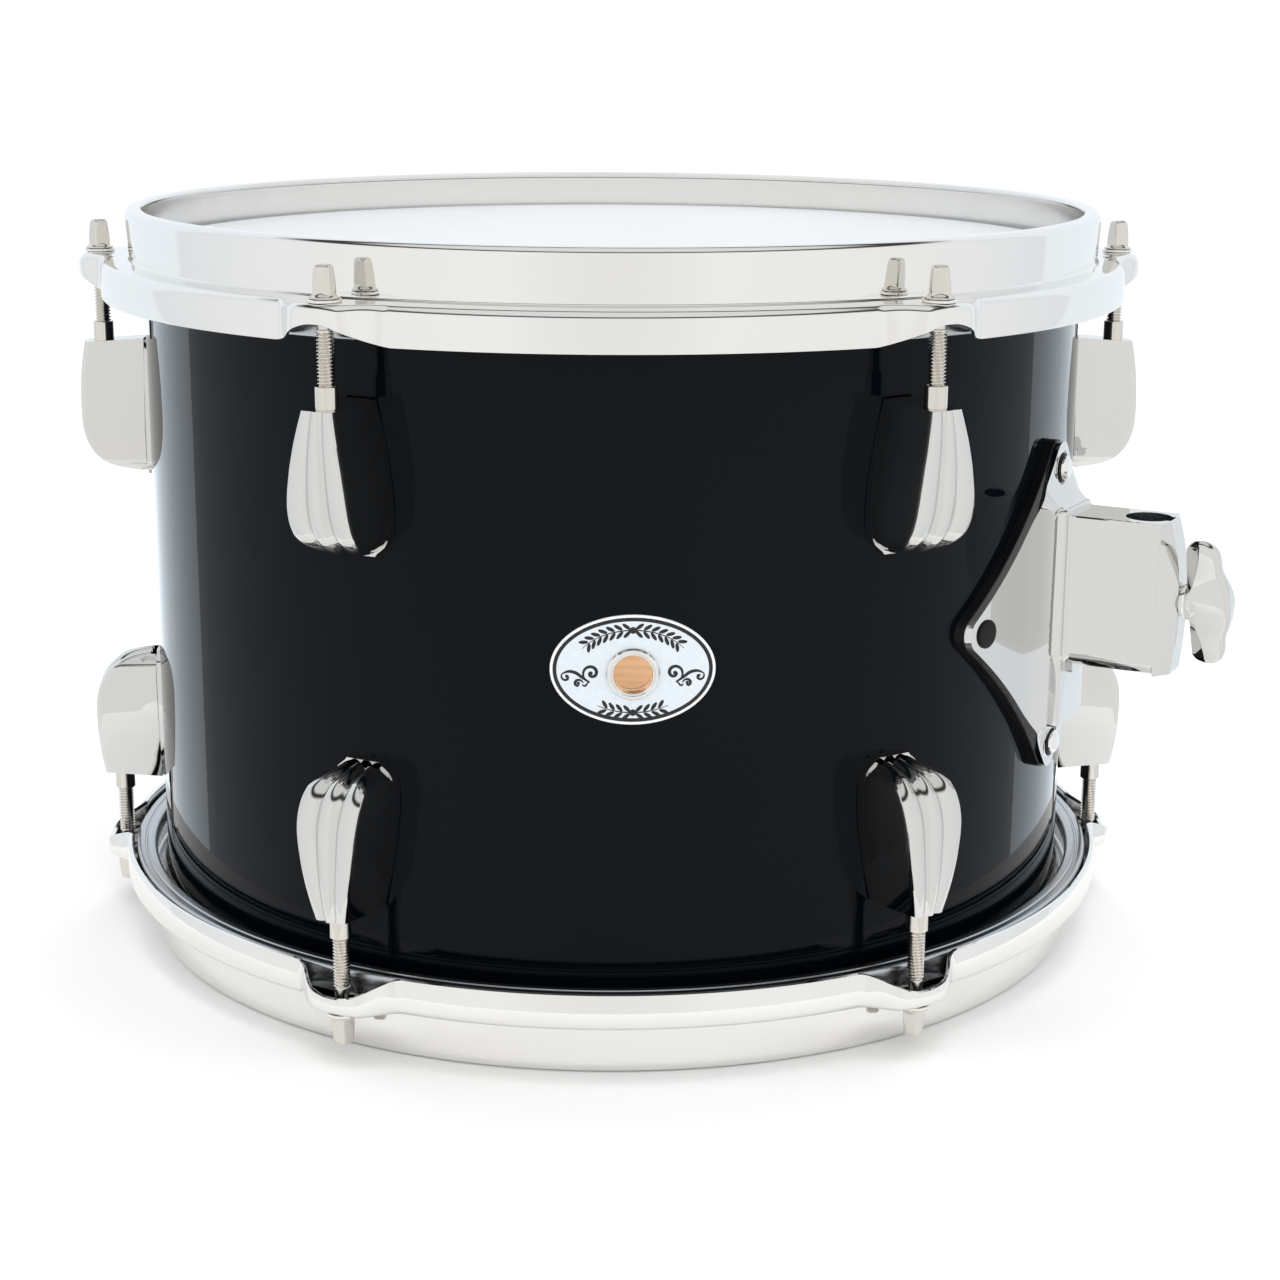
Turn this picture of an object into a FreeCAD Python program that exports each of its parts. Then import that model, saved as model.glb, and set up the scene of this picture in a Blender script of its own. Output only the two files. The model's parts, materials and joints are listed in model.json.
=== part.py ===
"""Rack tom tom drum, 13 inches across and 9 inches deep, as an assembly of its real pieces.

The drum stands on its resonant rim. Z is the drum's axis, the origin is the centre of the resonant
rim's foot, and the badge faces -Y. Angles round the drum are measured from the badge towards +X.
Each end has a head, a flanged hoop, six tension rods and six lugs. Everything at an end is drawn
once, with Z pointing out of the drum from its middle plane, and placed at the batter (upper) or
resonant (lower) end. All sizes are in millimetres and come from the spreadsheet.
"""

import FreeCAD, Part
import math
import os

import Sketcher
from FreeCAD import Placement, Rotation, Vector

OUT = "parts"
STATIONS = {
    "front_right": 30,
    "right": 90,
    "rear_right": 150,
    "rear_left": 210,
    "left": 270,
    "front_left": 330,
}
ENDS = ("batter", "resonant")

doc = FreeCAD.newDocument("tom_tom_drum")

# ---------------------------------------------------------------- driving dimensions

DIMENSIONS = [
    ("shell_radius", 163.5, "outside of the wood shell"),
    ("shell_wall", 6.0, "six plies of maple"),
    ("shell_depth", 228.6, "9 in between the bearing edges"),
    ("rim_rise", 13.2, "hoop rim beyond the bearing edge"),
    ("bearing_cut", 2.8, "45 degree cuts of the bearing edge"),
    ("ring_wall", 5.0, "reinforcement ring thickness"),
    ("ring_depth", 35.0, "reinforcement ring depth"),
    ("film_wall", 0.25, "coated single-ply film"),
    ("film_gap", 0.3, "film collar to shell"),
    ("flesh_inner", 167.4, "flesh hoop inside radius"),
    ("flesh_outer", 174.6, "flesh hoop outside radius"),
    ("flesh_depth", 8.6, "flesh hoop depth"),
    ("hoop_sheet", 2.2, "hoop sheet thickness"),
    ("rim_radius", 169.2, "outside of the hoop's upright wall at its rim"),
    ("rim_lip", 6.1, "rolled lip, inwards"),
    ("wall_foot_radius", 168.4, "outside of the upright wall at its foot"),
    ("shoulder_drop", 16.7, "rim down to the shoulder"),
    ("skirt_radius", 178.0, "outside of the skirt"),
    ("skirt_drop", 29.8, "rim down to the skirt's edge"),
    ("ear_radius", 187.0, "outermost point of an ear"),
    ("ear_rise", 6.7, "how far the skirt's edge rises under an ear"),
    ("ear_width", 36.0, "length of hoop that one ear takes"),
    ("rod_circle", 180.0, "radius of the circle of tension rods"),
    ("rod_radius", 2.70, "tension rod, over its thread"),
    ("rod_hole", 3.2, "hole radius in an ear"),
    ("rod_length", 49.5, "tension rod under its flange"),
    ("rod_flange_radius", 4.8, "flange of the rod's head"),
    ("rod_flange", 1.4, "flange thickness"),
    ("rod_head", 8.6, "height of the square head"),
    ("rod_square", 5.8, "across the flats of the square head"),
    ("washer_radius", 5.2, "washer under the rod's flange"),
    ("washer_wall", 1.0, "washer thickness"),
    ("nut_radius", 3.5, "swivel nut barrel"),
    ("nut_bore", 2.75, "swivel nut bore, over the rod's thread"),
    ("nut_flange_radius", 4.4, "swivel nut flange inside the lug"),
    ("nut_proud", 6.9, "swivel nut barrel outside the lug"),
    ("lug_end", 79.1, "middle plane to the lug's rod end"),
    ("lug_length", 45.5, "lug casing length"),
    ("lug_reach", 24.0, "shell to the outer ribs"),
    ("lug_rib", 1.0, "middle rib above the outer ribs"),
    ("lug_half_width", 10.6, "half the casing's greatest width"),
    ("lug_end_half", 5.8, "half the casing's width at its rod end"),
    ("lug_wall", 2.1, "casing wall"),
    ("lug_screw_high", 69.0, "middle plane to the outer lug screw"),
    ("lug_screw_low", 42.0, "middle plane to the inner lug screw"),
    ("screw_radius", 2.45, "M5 screws of the lugs and the mount"),
    ("badge_width", 50.0, "oval badge"),
    ("badge_height", 34.1, "oval badge"),
    ("badge_rise", 1.3, "vent hole up to the badge's centre"),
    ("badge_wall", 0.6, "badge plate thickness"),
    ("vent_radius", 5.9, "open radius of the vent grommet"),
    ("grommet_radius", 6.5, "grommet tube, outside"),
    ("grommet_flange", 8.2, "grommet flange radius"),
    ("mount_angle", 59.0, "degrees from the badge to the mount"),
    ("mount_level", 1.5, "middle plane to the mount plate's centre"),
    ("gasket_wall", 3.0, "rubber gasket under the mount plate"),
    ("plate_wall", 2.2, "mount plate thickness"),
    ("plate_half", 55.5, "mount plate centre to each tip"),
    ("plate_screw", 46.8, "mount plate centre to each upright fixing"),
    ("plate_fix_angle", 16.3, "degrees round the shell to a side fixing"),
    ("pad_half", 12.4, "half the width of the raised pad under the block"),
    ("pad_top", 36.7, "middle plane to the pad's top"),
    ("pad_foot", -37.0, "middle plane to the pad's foot"),
    ("pad_reach", 175.3, "drum axis to the pad's face"),
    ("flare", 4.6, "how far the plate's thickening spreads above the pad"),
    ("block_half", 11.2, "half the receiver block's width"),
    ("block_top", 34.9, "middle plane to the block's top"),
    ("block_foot", -15.5, "middle plane to the block's foot"),
    ("block_reach", 205.0, "drum axis to the block's outer corner"),
    ("cap_reach", 212.6, "drum axis to the block's end pad"),
    ("arm_circle", 198.6, "drum axis to the arm bore"),
    ("arm_bore", 7.5, "bore radius for the tom arm"),
    ("eye_wall", 2.0, "ring wall of the clamp eye bolt"),
    ("eye_depth", 9.0, "ring height of the clamp eye bolt"),
    ("eye_travel", 1.9, "how far the eye bolt draws out"),
    ("bolt_radius", 3.9, "threaded shank of the eye bolt, M8"),
    ("wing_level", 8.5, "middle plane to the wing screw's axis"),
    ("wing_hub", 5.4, "hub radius of the wing nut"),
    ("wing_half", 24.8, "wing nut, axis to the end of a wing"),
    ("wing_wall", 4.4, "wing thickness"),
    ("wing_tilt", 21.0, "degrees the wings lean from upright at rest"),
]

sheet = doc.addObject("Spreadsheet::Sheet", "sizes")
for row, (alias, number, note) in enumerate(DIMENSIONS, start=1):
    sheet.set(f"A{row}", alias)
    sheet.set(f"B{row}", str(number))
    sheet.setAlias(f"B{row}", alias)
    sheet.set(f"C{row}", note)
doc.recompute()


class Size:
    """A length that carries its number and the spreadsheet expression that it comes from."""

    def __init__(self, number, text):
        self.number = float(number)
        self.text = text

    def __add__(self, other):
        other = as_size(other)
        return Size(self.number + other.number, f"({self.text} + {other.text})")

    def __sub__(self, other):
        other = as_size(other)
        return Size(self.number - other.number, f"({self.text} - {other.text})")

    def __mul__(self, other):
        other = as_size(other)
        return Size(self.number * other.number, f"({self.text} * {other.text})")

    def __truediv__(self, other):
        other = as_size(other)
        return Size(self.number / other.number, f"({self.text} / {other.text})")

    def __neg__(self):
        return as_size(0) - self

    __radd__ = __add__

    def __rsub__(self, other):
        return as_size(other) - self

    __rmul__ = __mul__


def as_size(value):
    """A plain number becomes a Size whose expression is that number."""
    return value if isinstance(value, Size) else Size(value, f"{float(value):.6f}")


def size(alias):
    """The Size that stands for one cell of the spreadsheet."""
    return Size(sheet.get(alias), f"sizes.{alias}")


half_depth = size("shell_depth") / 2
rim_top = half_depth + size("rim_rise")
shell_radius = size("shell_radius")
rod_circle = size("rod_circle")

# ---------------------------------------------------------------- sketches and features


def new_body(label):
    """A PartDesign body with its own label."""
    body = doc.addObject("PartDesign::Body", label)
    body.Label = label
    return body


def base_plane(body, role):
    """One of the body's own origin planes or axes."""
    return next(o for o in body.Origin.OriginFeatures if o.Role == role)


def new_sketch(body, name, role, level=0, turn=0):
    """A sketch on an origin plane, shifted along its normal and turned about its own upright."""
    made = body.newObject("Sketcher::SketchObject", f"{body.Name}_{name}")
    made.AttachmentSupport = [(base_plane(body, role), "")]
    made.MapMode = "FlatFace"
    level = as_size(level)
    made.AttachmentOffset = Placement(Vector(0, 0, level.number), Rotation(Vector(0, 1, 0), turn))
    made.setExpression(".AttachmentOffset.Base.z", level.text)
    return made


def pin_point(made, geometry, end, point):
    """Fixes an end of a sketch line at a point whose two coordinates are Sizes."""
    for kind, coordinate in zip(("DistanceX", "DistanceY"), point):
        coordinate = as_size(coordinate)
        index = made.addConstraint(
            Sketcher.Constraint(kind, -1, 1, geometry, end, coordinate.number)
        )
        made.setExpression(f"Constraints[{index}]", coordinate.text)


def add_outline(made, points):
    """Adds a closed outline of straight lines through points."""
    numbers = [Vector(as_size(a).number, as_size(b).number, 0) for a, b in points]
    first = made.GeometryCount
    count = len(points)
    for i in range(count):
        made.addGeometry(Part.LineSegment(numbers[i], numbers[(i + 1) % count]), False)
    for i in range(count):
        joined = Sketcher.Constraint("Coincident", first + i, 2, first + (i + 1) % count, 1)
        made.addConstraint(joined)
    for i, point in enumerate(points):
        pin_point(made, first + i, 1, point)


def add_circle(made, centre, radius):
    """Adds a circle with its centre and radius bound to Sizes."""
    radius = as_size(radius)
    middle = Vector(as_size(centre[0]).number, as_size(centre[1]).number, 0)
    index = made.addGeometry(Part.Circle(middle, Vector(0, 0, 1), radius.number), False)
    pin_point(made, index, 3, centre)
    ring = made.addConstraint(Sketcher.Constraint("Radius", index, radius.number))
    made.setExpression(f"Constraints[{ring}]", radius.text)


def revolve(body, name, points):
    """Turns an outline of (radius, height) points a full turn about the body's Z axis."""
    outline = new_sketch(body, f"{name}_outline", "XZ_Plane")
    add_outline(outline, points)
    made = body.newObject("PartDesign::Revolution", f"{body.Name}_{name}")
    made.Profile = outline
    made.ReferenceAxis = (outline, ["V_Axis"])
    made.Angle = 360
    outline.Visibility = False
    return made


def extrude(body, name, outline, length, both=False, away=False):
    """Pads a sketch by length, along its normal, against it, or half each way."""
    made = body.newObject("PartDesign::Pad", f"{body.Name}_{name}")
    made.Profile = outline
    length = as_size(length)
    made.Length = length.number
    made.setExpression("Length", length.text)
    made.Midplane = both
    made.Reversed = away
    return made


def cut(body, name, outline, length, both=False, along=False):
    """Pockets a sketch by length, against its normal, along it, or half each way."""
    made = body.newObject("PartDesign::Pocket", f"{body.Name}_{name}")
    made.Profile = outline
    length = as_size(length)
    made.Length = length.number
    made.setExpression("Length", length.text)
    made.Midplane = both
    made.Reversed = along
    return made


def pattern(body, name, features, count):
    """Repeats features round the body's Z axis."""
    made = body.newObject("PartDesign::PolarPattern", f"{body.Name}_{name}")
    made.Originals = features
    made.Axis = (base_plane(body, "Z_Axis"), [""])
    made.Angle = 360
    made.Occurrences = count
    body.Tip = made
    return made


def round_edges(body, name, radius, wanted):
    """Fillets the edges of the body's tip for which wanted(edge) is true."""
    doc.recompute()
    tip = body.Tip
    names = [f"Edge{i}" for i, edge in enumerate(tip.Shape.Edges, start=1) if wanted(edge)]
    if not names:
        raise ValueError(f"{body.Label}: {name} found no edge to round")
    made = body.newObject("PartDesign::Fillet", f"{body.Name}_{name}")
    made.Base = (tip, names)
    made.Radius = radius
    return made


def mount_holes(body, turn, radius):
    """Drills the mount's four fixing holes, each square to the shell, round an axis at turn."""
    spread = sheet.get("plate_fix_angle")
    reach = size("plate_screw")
    for name, angle, levels in (
        ("upright_holes", turn, (reach, -reach)),
        ("near_hole", turn - spread, (as_size(0),)),
        ("far_hole", turn + spread, (as_size(0),)),
    ):
        holes = new_sketch(body, f"{name}_outline", "XZ_Plane", turn=angle)
        for level in levels:
            add_circle(holes, (0, size("mount_level") + level), radius)
        cut(body, name, holes, shell_radius + 8, along=True)


# ---------------------------------------------------------------- placing the pieces

middle = Placement(Vector(0, 0, rim_top.number), Rotation())
flip = Placement(Vector(), Rotation(Vector(1, 0, 0), 180))


def turned(angle):
    """A turn about the drum's axis."""
    return Placement(Vector(), Rotation(Vector(0, 0, 1), angle))


def at_end(end, angle=0):
    """Where a piece drawn at the badge's angle goes, at one end and angle of the drum."""
    if end == "batter":
        return middle.multiply(turned(angle))
    return middle.multiply(flip).multiply(turned(180 - angle))


finished = []


def finish(piece, place):
    """Places a piece and lists it for export."""
    piece.Placement = place
    finished.append(piece)
    return piece


def group(label, original, places):
    """Identical pieces as separate solids of one node, copied from a body that isn't exported."""
    doc.recompute()
    shapes = []
    for place in places:
        copy = original.Shape.copy()
        copy.Placement = place
        shapes.append(copy)
    made = doc.addObject("Part::Feature", label)
    made.Label = label
    made.Shape = Part.makeCompound(shapes)
    finished.append(made)
    return made


def beside(place, y, z=0.0, turn=None):
    """A piece drawn round its own Z axis, moved out to -y and along z within place."""
    moved = place.multiply(Placement(Vector(0, -y, z), Rotation()))
    return moved.multiply(Placement(Vector(), turn)) if turn else moved


RADIAL = Rotation(Vector(1, 0, 0), 90)  # carries a piece's own +Z to -Y, which is outwards


# ---------------------------------------------------------------- shell and its rings


def build_shell():
    """Wood shell with 45 degree bearing edges, a vent hole and the fixing holes."""
    body = new_body("shell")
    inner = shell_radius - size("shell_wall")
    cut_depth = size("bearing_cut")
    tip = shell_radius - cut_depth
    half = [
        (shell_radius, half_depth - cut_depth),
        (tip, half_depth),
        (tip - 0.4, half_depth),
        (inner, half_depth - (size("shell_wall") - cut_depth - 0.4)),
    ]
    other_half = [(r, -z) for r, z in reversed(half)]
    revolve(body, "wall", half + other_half)

    vent = new_sketch(body, "vent_outline", "XZ_Plane")
    add_circle(vent, (0, 0), size("grommet_radius") + 0.1)
    cut(body, "vent", vent, shell_radius + 5, along=True)

    screws = new_sketch(body, "lug_holes_outline", "XZ_Plane", turn=STATIONS["front_right"])
    for level in ("lug_screw_high", "lug_screw_low"):
        for way in (1, -1):
            add_circle(screws, (0, size(level) * way), size("screw_radius") + 0.25)
    holes = cut(body, "lug_holes", screws, shell_radius + 5, along=True)
    pattern(body, "lug_hole_ring", [holes], len(STATIONS))

    mount_holes(body, sheet.get("mount_angle"), size("screw_radius") + 0.25)
    finish(body, middle)


def build_rings():
    """A reinforcement ring glued inside each end of the shell."""
    for end in ENDS:
        body = new_body(f"{end}_reinforcement_ring")
        outer = shell_radius - size("shell_wall") - 0.02
        top = half_depth - (size("shell_wall") - size("bearing_cut") - 0.4)
        wall = size("ring_wall")
        outline = [
            (outer, top),
            (outer - wall, top - wall),
            (outer - wall, top - size("ring_depth")),
            (outer, top - size("ring_depth")),
        ]
        revolve(body, "ring", outline)
        finish(body, at_end(end))


# ---------------------------------------------------------------- heads and hoops


def build_heads():
    """Film with its collar, and the flesh hoop that grips the film's edge."""
    flesh_top = rim_top - size("shoulder_drop") - size("hoop_sheet") - 1.0
    flesh_foot = flesh_top - size("flesh_depth")
    face = half_depth + 0.05
    gap = size("film_gap")
    wall = size("film_wall")
    knee = shell_radius - size("bearing_cut")
    collar_foot = flesh_foot + 4
    for end in ENDS:
        film = new_body(f"{end}_head_film")
        inside = [
            (0, face),
            (knee + gap, face),
            (shell_radius + gap, half_depth - size("bearing_cut")),
            (shell_radius + gap, collar_foot + 1.5),
            (shell_radius + gap + 1.5, collar_foot),
            (size("flesh_inner"), collar_foot),
        ]
        outside = [
            (size("flesh_inner"), collar_foot + wall),
            (shell_radius + gap + 1.6, collar_foot + wall),
            (shell_radius + gap + wall, collar_foot + 1.6),
            (shell_radius + gap + wall, half_depth - size("bearing_cut") + 0.1),
            (knee + gap + 0.1, face + wall),
            (0, face + wall),
        ]
        revolve(film, "skin", inside + outside)
        finish(film, at_end(end))

        hoop = new_body(f"{end}_flesh_hoop")
        ring = [
            (size("flesh_inner"), flesh_foot),
            (size("flesh_outer"), flesh_foot),
            (size("flesh_outer"), flesh_top),
            (size("flesh_inner") + 1.2, flesh_top),
            (size("flesh_inner"), flesh_top - 1.2),
        ]
        revolve(hoop, "channel", ring)
        round_edges(hoop, "soft_edges", 0.5, lambda e: e.BoundBox.XMax > 174)
        finish(hoop, at_end(end))


def build_hoops():
    """Flanged steel hoop: a wall with a lip rolled inwards, a shoulder, and a skirt with six ears."""
    sheet_wall = size("hoop_sheet")
    rim = size("rim_radius")
    foot = size("wall_foot_radius")
    skirt = size("skirt_radius")
    shoulder = rim_top - size("shoulder_drop")
    edge = rim_top - size("skirt_drop")
    ear_top = shoulder - 0.3
    ear_edge = edge + size("ear_rise")
    nose = size("ear_radius")
    half_ear = size("ear_width") / 2
    for end in ENDS:
        body = new_body(f"{end}_hoop")
        section = [
            (rim - size("rim_lip"), rim_top - sheet_wall),
            (rim - size("rim_lip"), rim_top),
            (rim - 1.2, rim_top),
            (rim, rim_top - 1.2),
            (foot, shoulder),
            (skirt - 2.2, shoulder - 0.6),
            (skirt, shoulder - 2.8),
            (skirt, edge),
            (skirt - sheet_wall, edge),
            (skirt - sheet_wall, shoulder - sheet_wall - 0.9),
            (foot - sheet_wall, shoulder - sheet_wall),
            (rim - sheet_wall, rim_top - sheet_wall),
        ]
        revolve(body, "flange", section)

        ear = new_sketch(body, "ear_outline", "XY_Plane", level=ear_edge)
        add_outline(
            ear,
            [
                (-half_ear, -(skirt - 3.2)),
                (-half_ear * 0.42, -(nose - 2.2)),
                (-half_ear * 0.24, -nose),
                (half_ear * 0.24, -nose),
                (half_ear * 0.42, -(nose - 2.2)),
                (half_ear, -(skirt - 3.2)),
            ],
        )
        bump = extrude(body, "ear", ear, ear_top - ear_edge)

        under = new_sketch(body, "ear_hollow_outline", "XY_Plane", level=edge - 1)
        add_outline(
            under,
            [
                (-half_ear * 0.45, -(skirt - sheet_wall - 0.8)),
                (-half_ear * 0.36, -(nose - sheet_wall - 1.8)),
                (-half_ear * 0.2, -(nose - sheet_wall)),
                (half_ear * 0.2, -(nose - sheet_wall)),
                (half_ear * 0.36, -(nose - sheet_wall - 1.8)),
                (half_ear * 0.45, -(skirt - sheet_wall - 0.8)),
            ],
        )
        hollow = cut(body, "ear_hollow", under, ear_top - sheet_wall - edge + 1, along=True)

        scallop = new_sketch(body, "scallop_outline", "XZ_Plane", level=skirt - sheet_wall - 1)
        add_outline(
            scallop,
            [
                (-half_ear, edge - 1),
                (-half_ear, edge),
                (-half_ear * 0.42, ear_edge),
                (half_ear * 0.42, ear_edge),
                (half_ear, edge),
                (half_ear, edge - 1),
            ],
        )
        notch = cut(body, "scallop", scallop, 14, along=True)

        hole = new_sketch(body, "rod_hole_outline", "XY_Plane", level=edge)
        add_circle(hole, (0, -rod_circle), size("rod_hole"))
        drilled = cut(body, "rod_hole", hole, 20, along=True)
        pattern(body, "ears", [bump, hollow, notch, drilled], len(STATIONS))
        finish(body, at_end(end, STATIONS["front_right"]))


# ---------------------------------------------------------------- tension rods, washers, nuts

seat = rim_top - size("shoulder_drop") - 0.3  # top of an ear, where the washer sits
flange_foot = seat + size("washer_wall") + 0.02


def build_rods():
    """Drum-key tension rods: threaded shank, round flange and square head."""
    thread = size("rod_radius")
    flange = size("rod_flange_radius")
    flange_top = flange_foot + size("rod_flange")
    for end in ENDS:
        for name, angle in STATIONS.items():
            body = new_body(f"{end}_tension_rod_{name}")
            section = [
                (0, flange_foot - size("rod_length")),
                (thread - 1, flange_foot - size("rod_length")),
                (thread, flange_foot - size("rod_length") + 1),
                (thread, flange_foot),
                (flange, flange_foot),
                (flange, flange_foot + size("rod_flange") * 0.5),
                (flange - 1.2, flange_top),
                (0, flange_top),
            ]
            revolve(body, "shank", section)
            flat = size("rod_square") / 2
            square = new_sketch(body, "head_outline", "XY_Plane", level=flange_top)
            add_outline(square, [(flat, flat), (-flat, flat), (-flat, -flat), (flat, -flat)])
            extrude(body, "head", square, size("rod_head"))
            top = (flange_top + size("rod_head")).number
            round_edges(body, "head_edges", 0.6, lambda e: e.BoundBox.ZMax > top - 0.01)
            finish(body, beside(at_end(end, angle), rod_circle.number))


def build_rod_washers():
    """One washer between each rod's flange and its ear."""
    for end in ENDS:
        body = new_body(f"{end}_washer_pattern")
        section = [
            (size("rod_radius") + 0.3, seat),
            (size("washer_radius"), seat),
            (size("washer_radius"), seat + size("washer_wall")),
            (size("rod_radius") + 0.3, seat + size("washer_wall")),
        ]
        revolve(body, "disc", section)
        places = [beside(at_end(end, a), rod_circle.number) for a in STATIONS.values()]
        group(f"{end}_rod_washers", body, places)


def build_nuts():
    """Swivel nuts that the rods screw into, and the clips that hold them in the lugs."""
    barrel = size("nut_radius")
    bore = size("nut_bore")
    lug_end = size("lug_end")
    flange_top = lug_end - size("lug_wall")
    for end in ENDS:
        nut = new_body(f"{end}_nut_pattern")
        section = [
            (bore, flange_top - 13),
            (barrel, flange_top - 13),
            (barrel, flange_top - 2),
            (size("nut_flange_radius"), flange_top - 2),
            (size("nut_flange_radius"), flange_top),
            (barrel, flange_top),
            (barrel, lug_end + size("nut_proud")),
            (bore, lug_end + size("nut_proud")),
        ]
        revolve(nut, "barrel", section)
        clip = new_body(f"{end}_clip_pattern")
        ring = [
            (barrel + 0.02, flange_top - 3.4),
            (size("nut_flange_radius"), flange_top - 3.4),
            (size("nut_flange_radius"), flange_top - 2.4),
            (barrel + 0.02, flange_top - 2.4),
        ]
        revolve(clip, "ring", ring)
        places = [beside(at_end(end, a), rod_circle.number) for a in STATIONS.values()]
        group(f"{end}_swivel_nuts", nut, places)
        group(f"{end}_nut_clips", clip, places)


# ---------------------------------------------------------------- lugs


def build_lugs():
    """Hollow cast lug casings with three ribs down the face and a stepped foot on the shell."""
    reach = shell_radius + size("lug_reach")
    end_z = size("lug_end")
    far_z = end_z - size("lug_length")
    rib = size("lug_rib")
    wide = size("lug_half_width")
    narrow = size("lug_end_half")
    wall = size("lug_wall")
    back = shell_radius - 1.5

    def side_profile(out, grow):
        """Side view of the casing, as (y, z) points, out to a given radius."""
        return [
            (-back, end_z + 1.6),
            (-(shell_radius + 2), end_z + 1.6),
            (-(out - 0.8), end_z),
            (-out, end_z - 9),
            (-(out - 0.6), far_z + 13),
            (-(out - 3.4), far_z + 6.6 - grow),
            (-(out - 9.5), far_z + 2.6 - grow),
            (-(shell_radius + 2), far_z),
            (-back, far_z),
        ]

    for end in ENDS:
        for name, angle in STATIONS.items():
            body = new_body(f"{end}_lug_{name}")
            casing = new_sketch(body, "casing_outline", "YZ_Plane")
            add_outline(casing, side_profile(reach, 0))
            extrude(body, "casing", casing, wide * 2, both=True)

            sides = new_sketch(body, "side_outline", "XZ_Plane")
            for way in (1, -1):
                add_outline(
                    sides,
                    [
                        (narrow * way, end_z + 3),
                        (narrow * way, end_z + 1.6),
                        ((narrow + 2.2) * way, end_z - 10),
                        ((wide - 0.7) * way, end_z - 20),
                        (wide * way, end_z - 30),
                        ((wide - 0.2) * way, far_z + 9),
                        ((wide - 2.4) * way, far_z + 3),
                        ((wide - 4.6) * way, far_z - 2),
                        ((wide + 3) * way, far_z - 2),
                        ((wide + 3) * way, end_z + 3),
                    ],
                )
            cut(body, "sides", sides, reach + 5, along=True)

            ridge = new_sketch(body, "rib_outline", "YZ_Plane")
            add_outline(ridge, side_profile(reach + rib, 0.8))
            extrude(body, "rib", ridge, narrow * 1.06, both=True)

            foot = new_sketch(body, "foot_outline", "XZ_Plane", level=back)
            half = [
                (narrow + 0.8, end_z + 2.3),
                (wide + 0.8, end_z - 29),
                (wide + 0.8, far_z + 6.5),
                (wide - 1.4, far_z + 4),
                (wide - 3.2, far_z + 2.6),
                (wide - 4.0, far_z - 1.7),
            ]
            add_outline(foot, half + [(-x, z) for x, z in reversed(half)])
            extrude(body, "foot", foot, 4.1)

            hollow = new_sketch(body, "hollow_outline", "YZ_Plane")
            inner = reach - wall - 0.6
            add_outline(
                hollow,
                [
                    (-(back - 1), end_z - wall),
                    (-inner, end_z - wall),
                    (-inner, far_z + 15),
                    (-(inner - 8), far_z + 6),
                    (-(shell_radius + 2), far_z + 3.6),
                    (-(back - 1), far_z + 3.6),
                ],
            )
            cut(body, "hollow", hollow, narrow * 2 - 2.4, both=True)

            posts = new_sketch(body, "post_outline", "XZ_Plane", level=back)
            for level in ("lug_screw_high", "lug_screw_low"):
                low = size(level) - 4
                high = size(level) + 4
                side = narrow - wall + 2.4
                add_outline(posts, [(-side, low), (side, low), (side, high), (-side, high)])
            extrude(body, "posts", posts, 9.5)

            screws = new_sketch(body, "screw_outline", "XZ_Plane", level=back - 1)
            for level in ("lug_screw_high", "lug_screw_low"):
                add_circle(screws, (0, size(level)), size("screw_radius") + 0.05)
            cut(body, "screw_holes", screws, 12, along=True)

            socket = new_sketch(body, "socket_outline", "XY_Plane", level=end_z - wall - 0.5)
            add_circle(socket, (0, -rod_circle), size("nut_radius") + 0.1)
            cut(body, "socket", socket, 8, along=True)

            fit = new_sketch(body, "shell_outline", "XY_Plane")
            add_circle(fit, (0, 0), shell_radius + 0.02)
            cut(body, "shell_fit", fit, end_z * 2 + 20, both=True)
            finish(body, at_end(end, angle))


def build_lug_screws():
    """Screws that hold the lugs from inside the shell, two to a lug, each with a washer."""
    shank = size("screw_radius")
    inside = size("shell_wall") + 0.2
    screw = new_body("lug_screw_pattern")
    section = [
        (0, -inside - 4.2),
        (3.2, -inside - 4.2),
        (4.4, -inside - 3.2),
        (4.4, -inside - 1.2),
        (shank, -inside - 1.2),
        (shank, 6.5),
        (shank - 0.6, 7.2),
        (0, 7.2),
    ]
    revolve(screw, "screw", section)
    washer = new_body("lug_washer_pattern")
    ring = [
        (shank + 0.15, -inside - 1.15),
        (6.2, -inside - 1.15),
        (6.2, -inside),
        (shank + 0.15, -inside),
    ]
    revolve(washer, "washer", ring)
    places = [
        beside(at_end(end, angle), shell_radius.number, sheet.get(level), RADIAL)
        for end in ENDS
        for angle in STATIONS.values()
        for level in ("lug_screw_high", "lug_screw_low")
    ]
    group("lug_screws", screw, places)
    group("lug_screw_washers", washer, places)


# ---------------------------------------------------------------- badge and vent


def curved_slab(label, outline_points, inner, outer, place, circles=()):
    """A slab of even thickness that follows the shell, cut to an outline drawn on its front."""
    body = new_body(label)
    front = new_sketch(body, "front_outline", "XZ_Plane", level=inner - 30)
    add_outline(front, outline_points)
    for centre, radius in circles:
        add_circle(front, centre, radius)
    extrude(body, "slab", front, outer - inner + 40)
    core = new_sketch(body, "inside_outline", "XY_Plane")
    add_circle(core, (0, 0), inner)
    cut(body, "inside", core, 2 * outer, both=True)
    beyond = new_sketch(body, "outside_outline", "XY_Plane")
    add_circle(beyond, (0, 0), outer)
    add_circle(beyond, (0, 0), outer + 40)
    cut(body, "outside", beyond, 2 * outer, both=True)
    return finish(body, place)


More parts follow.
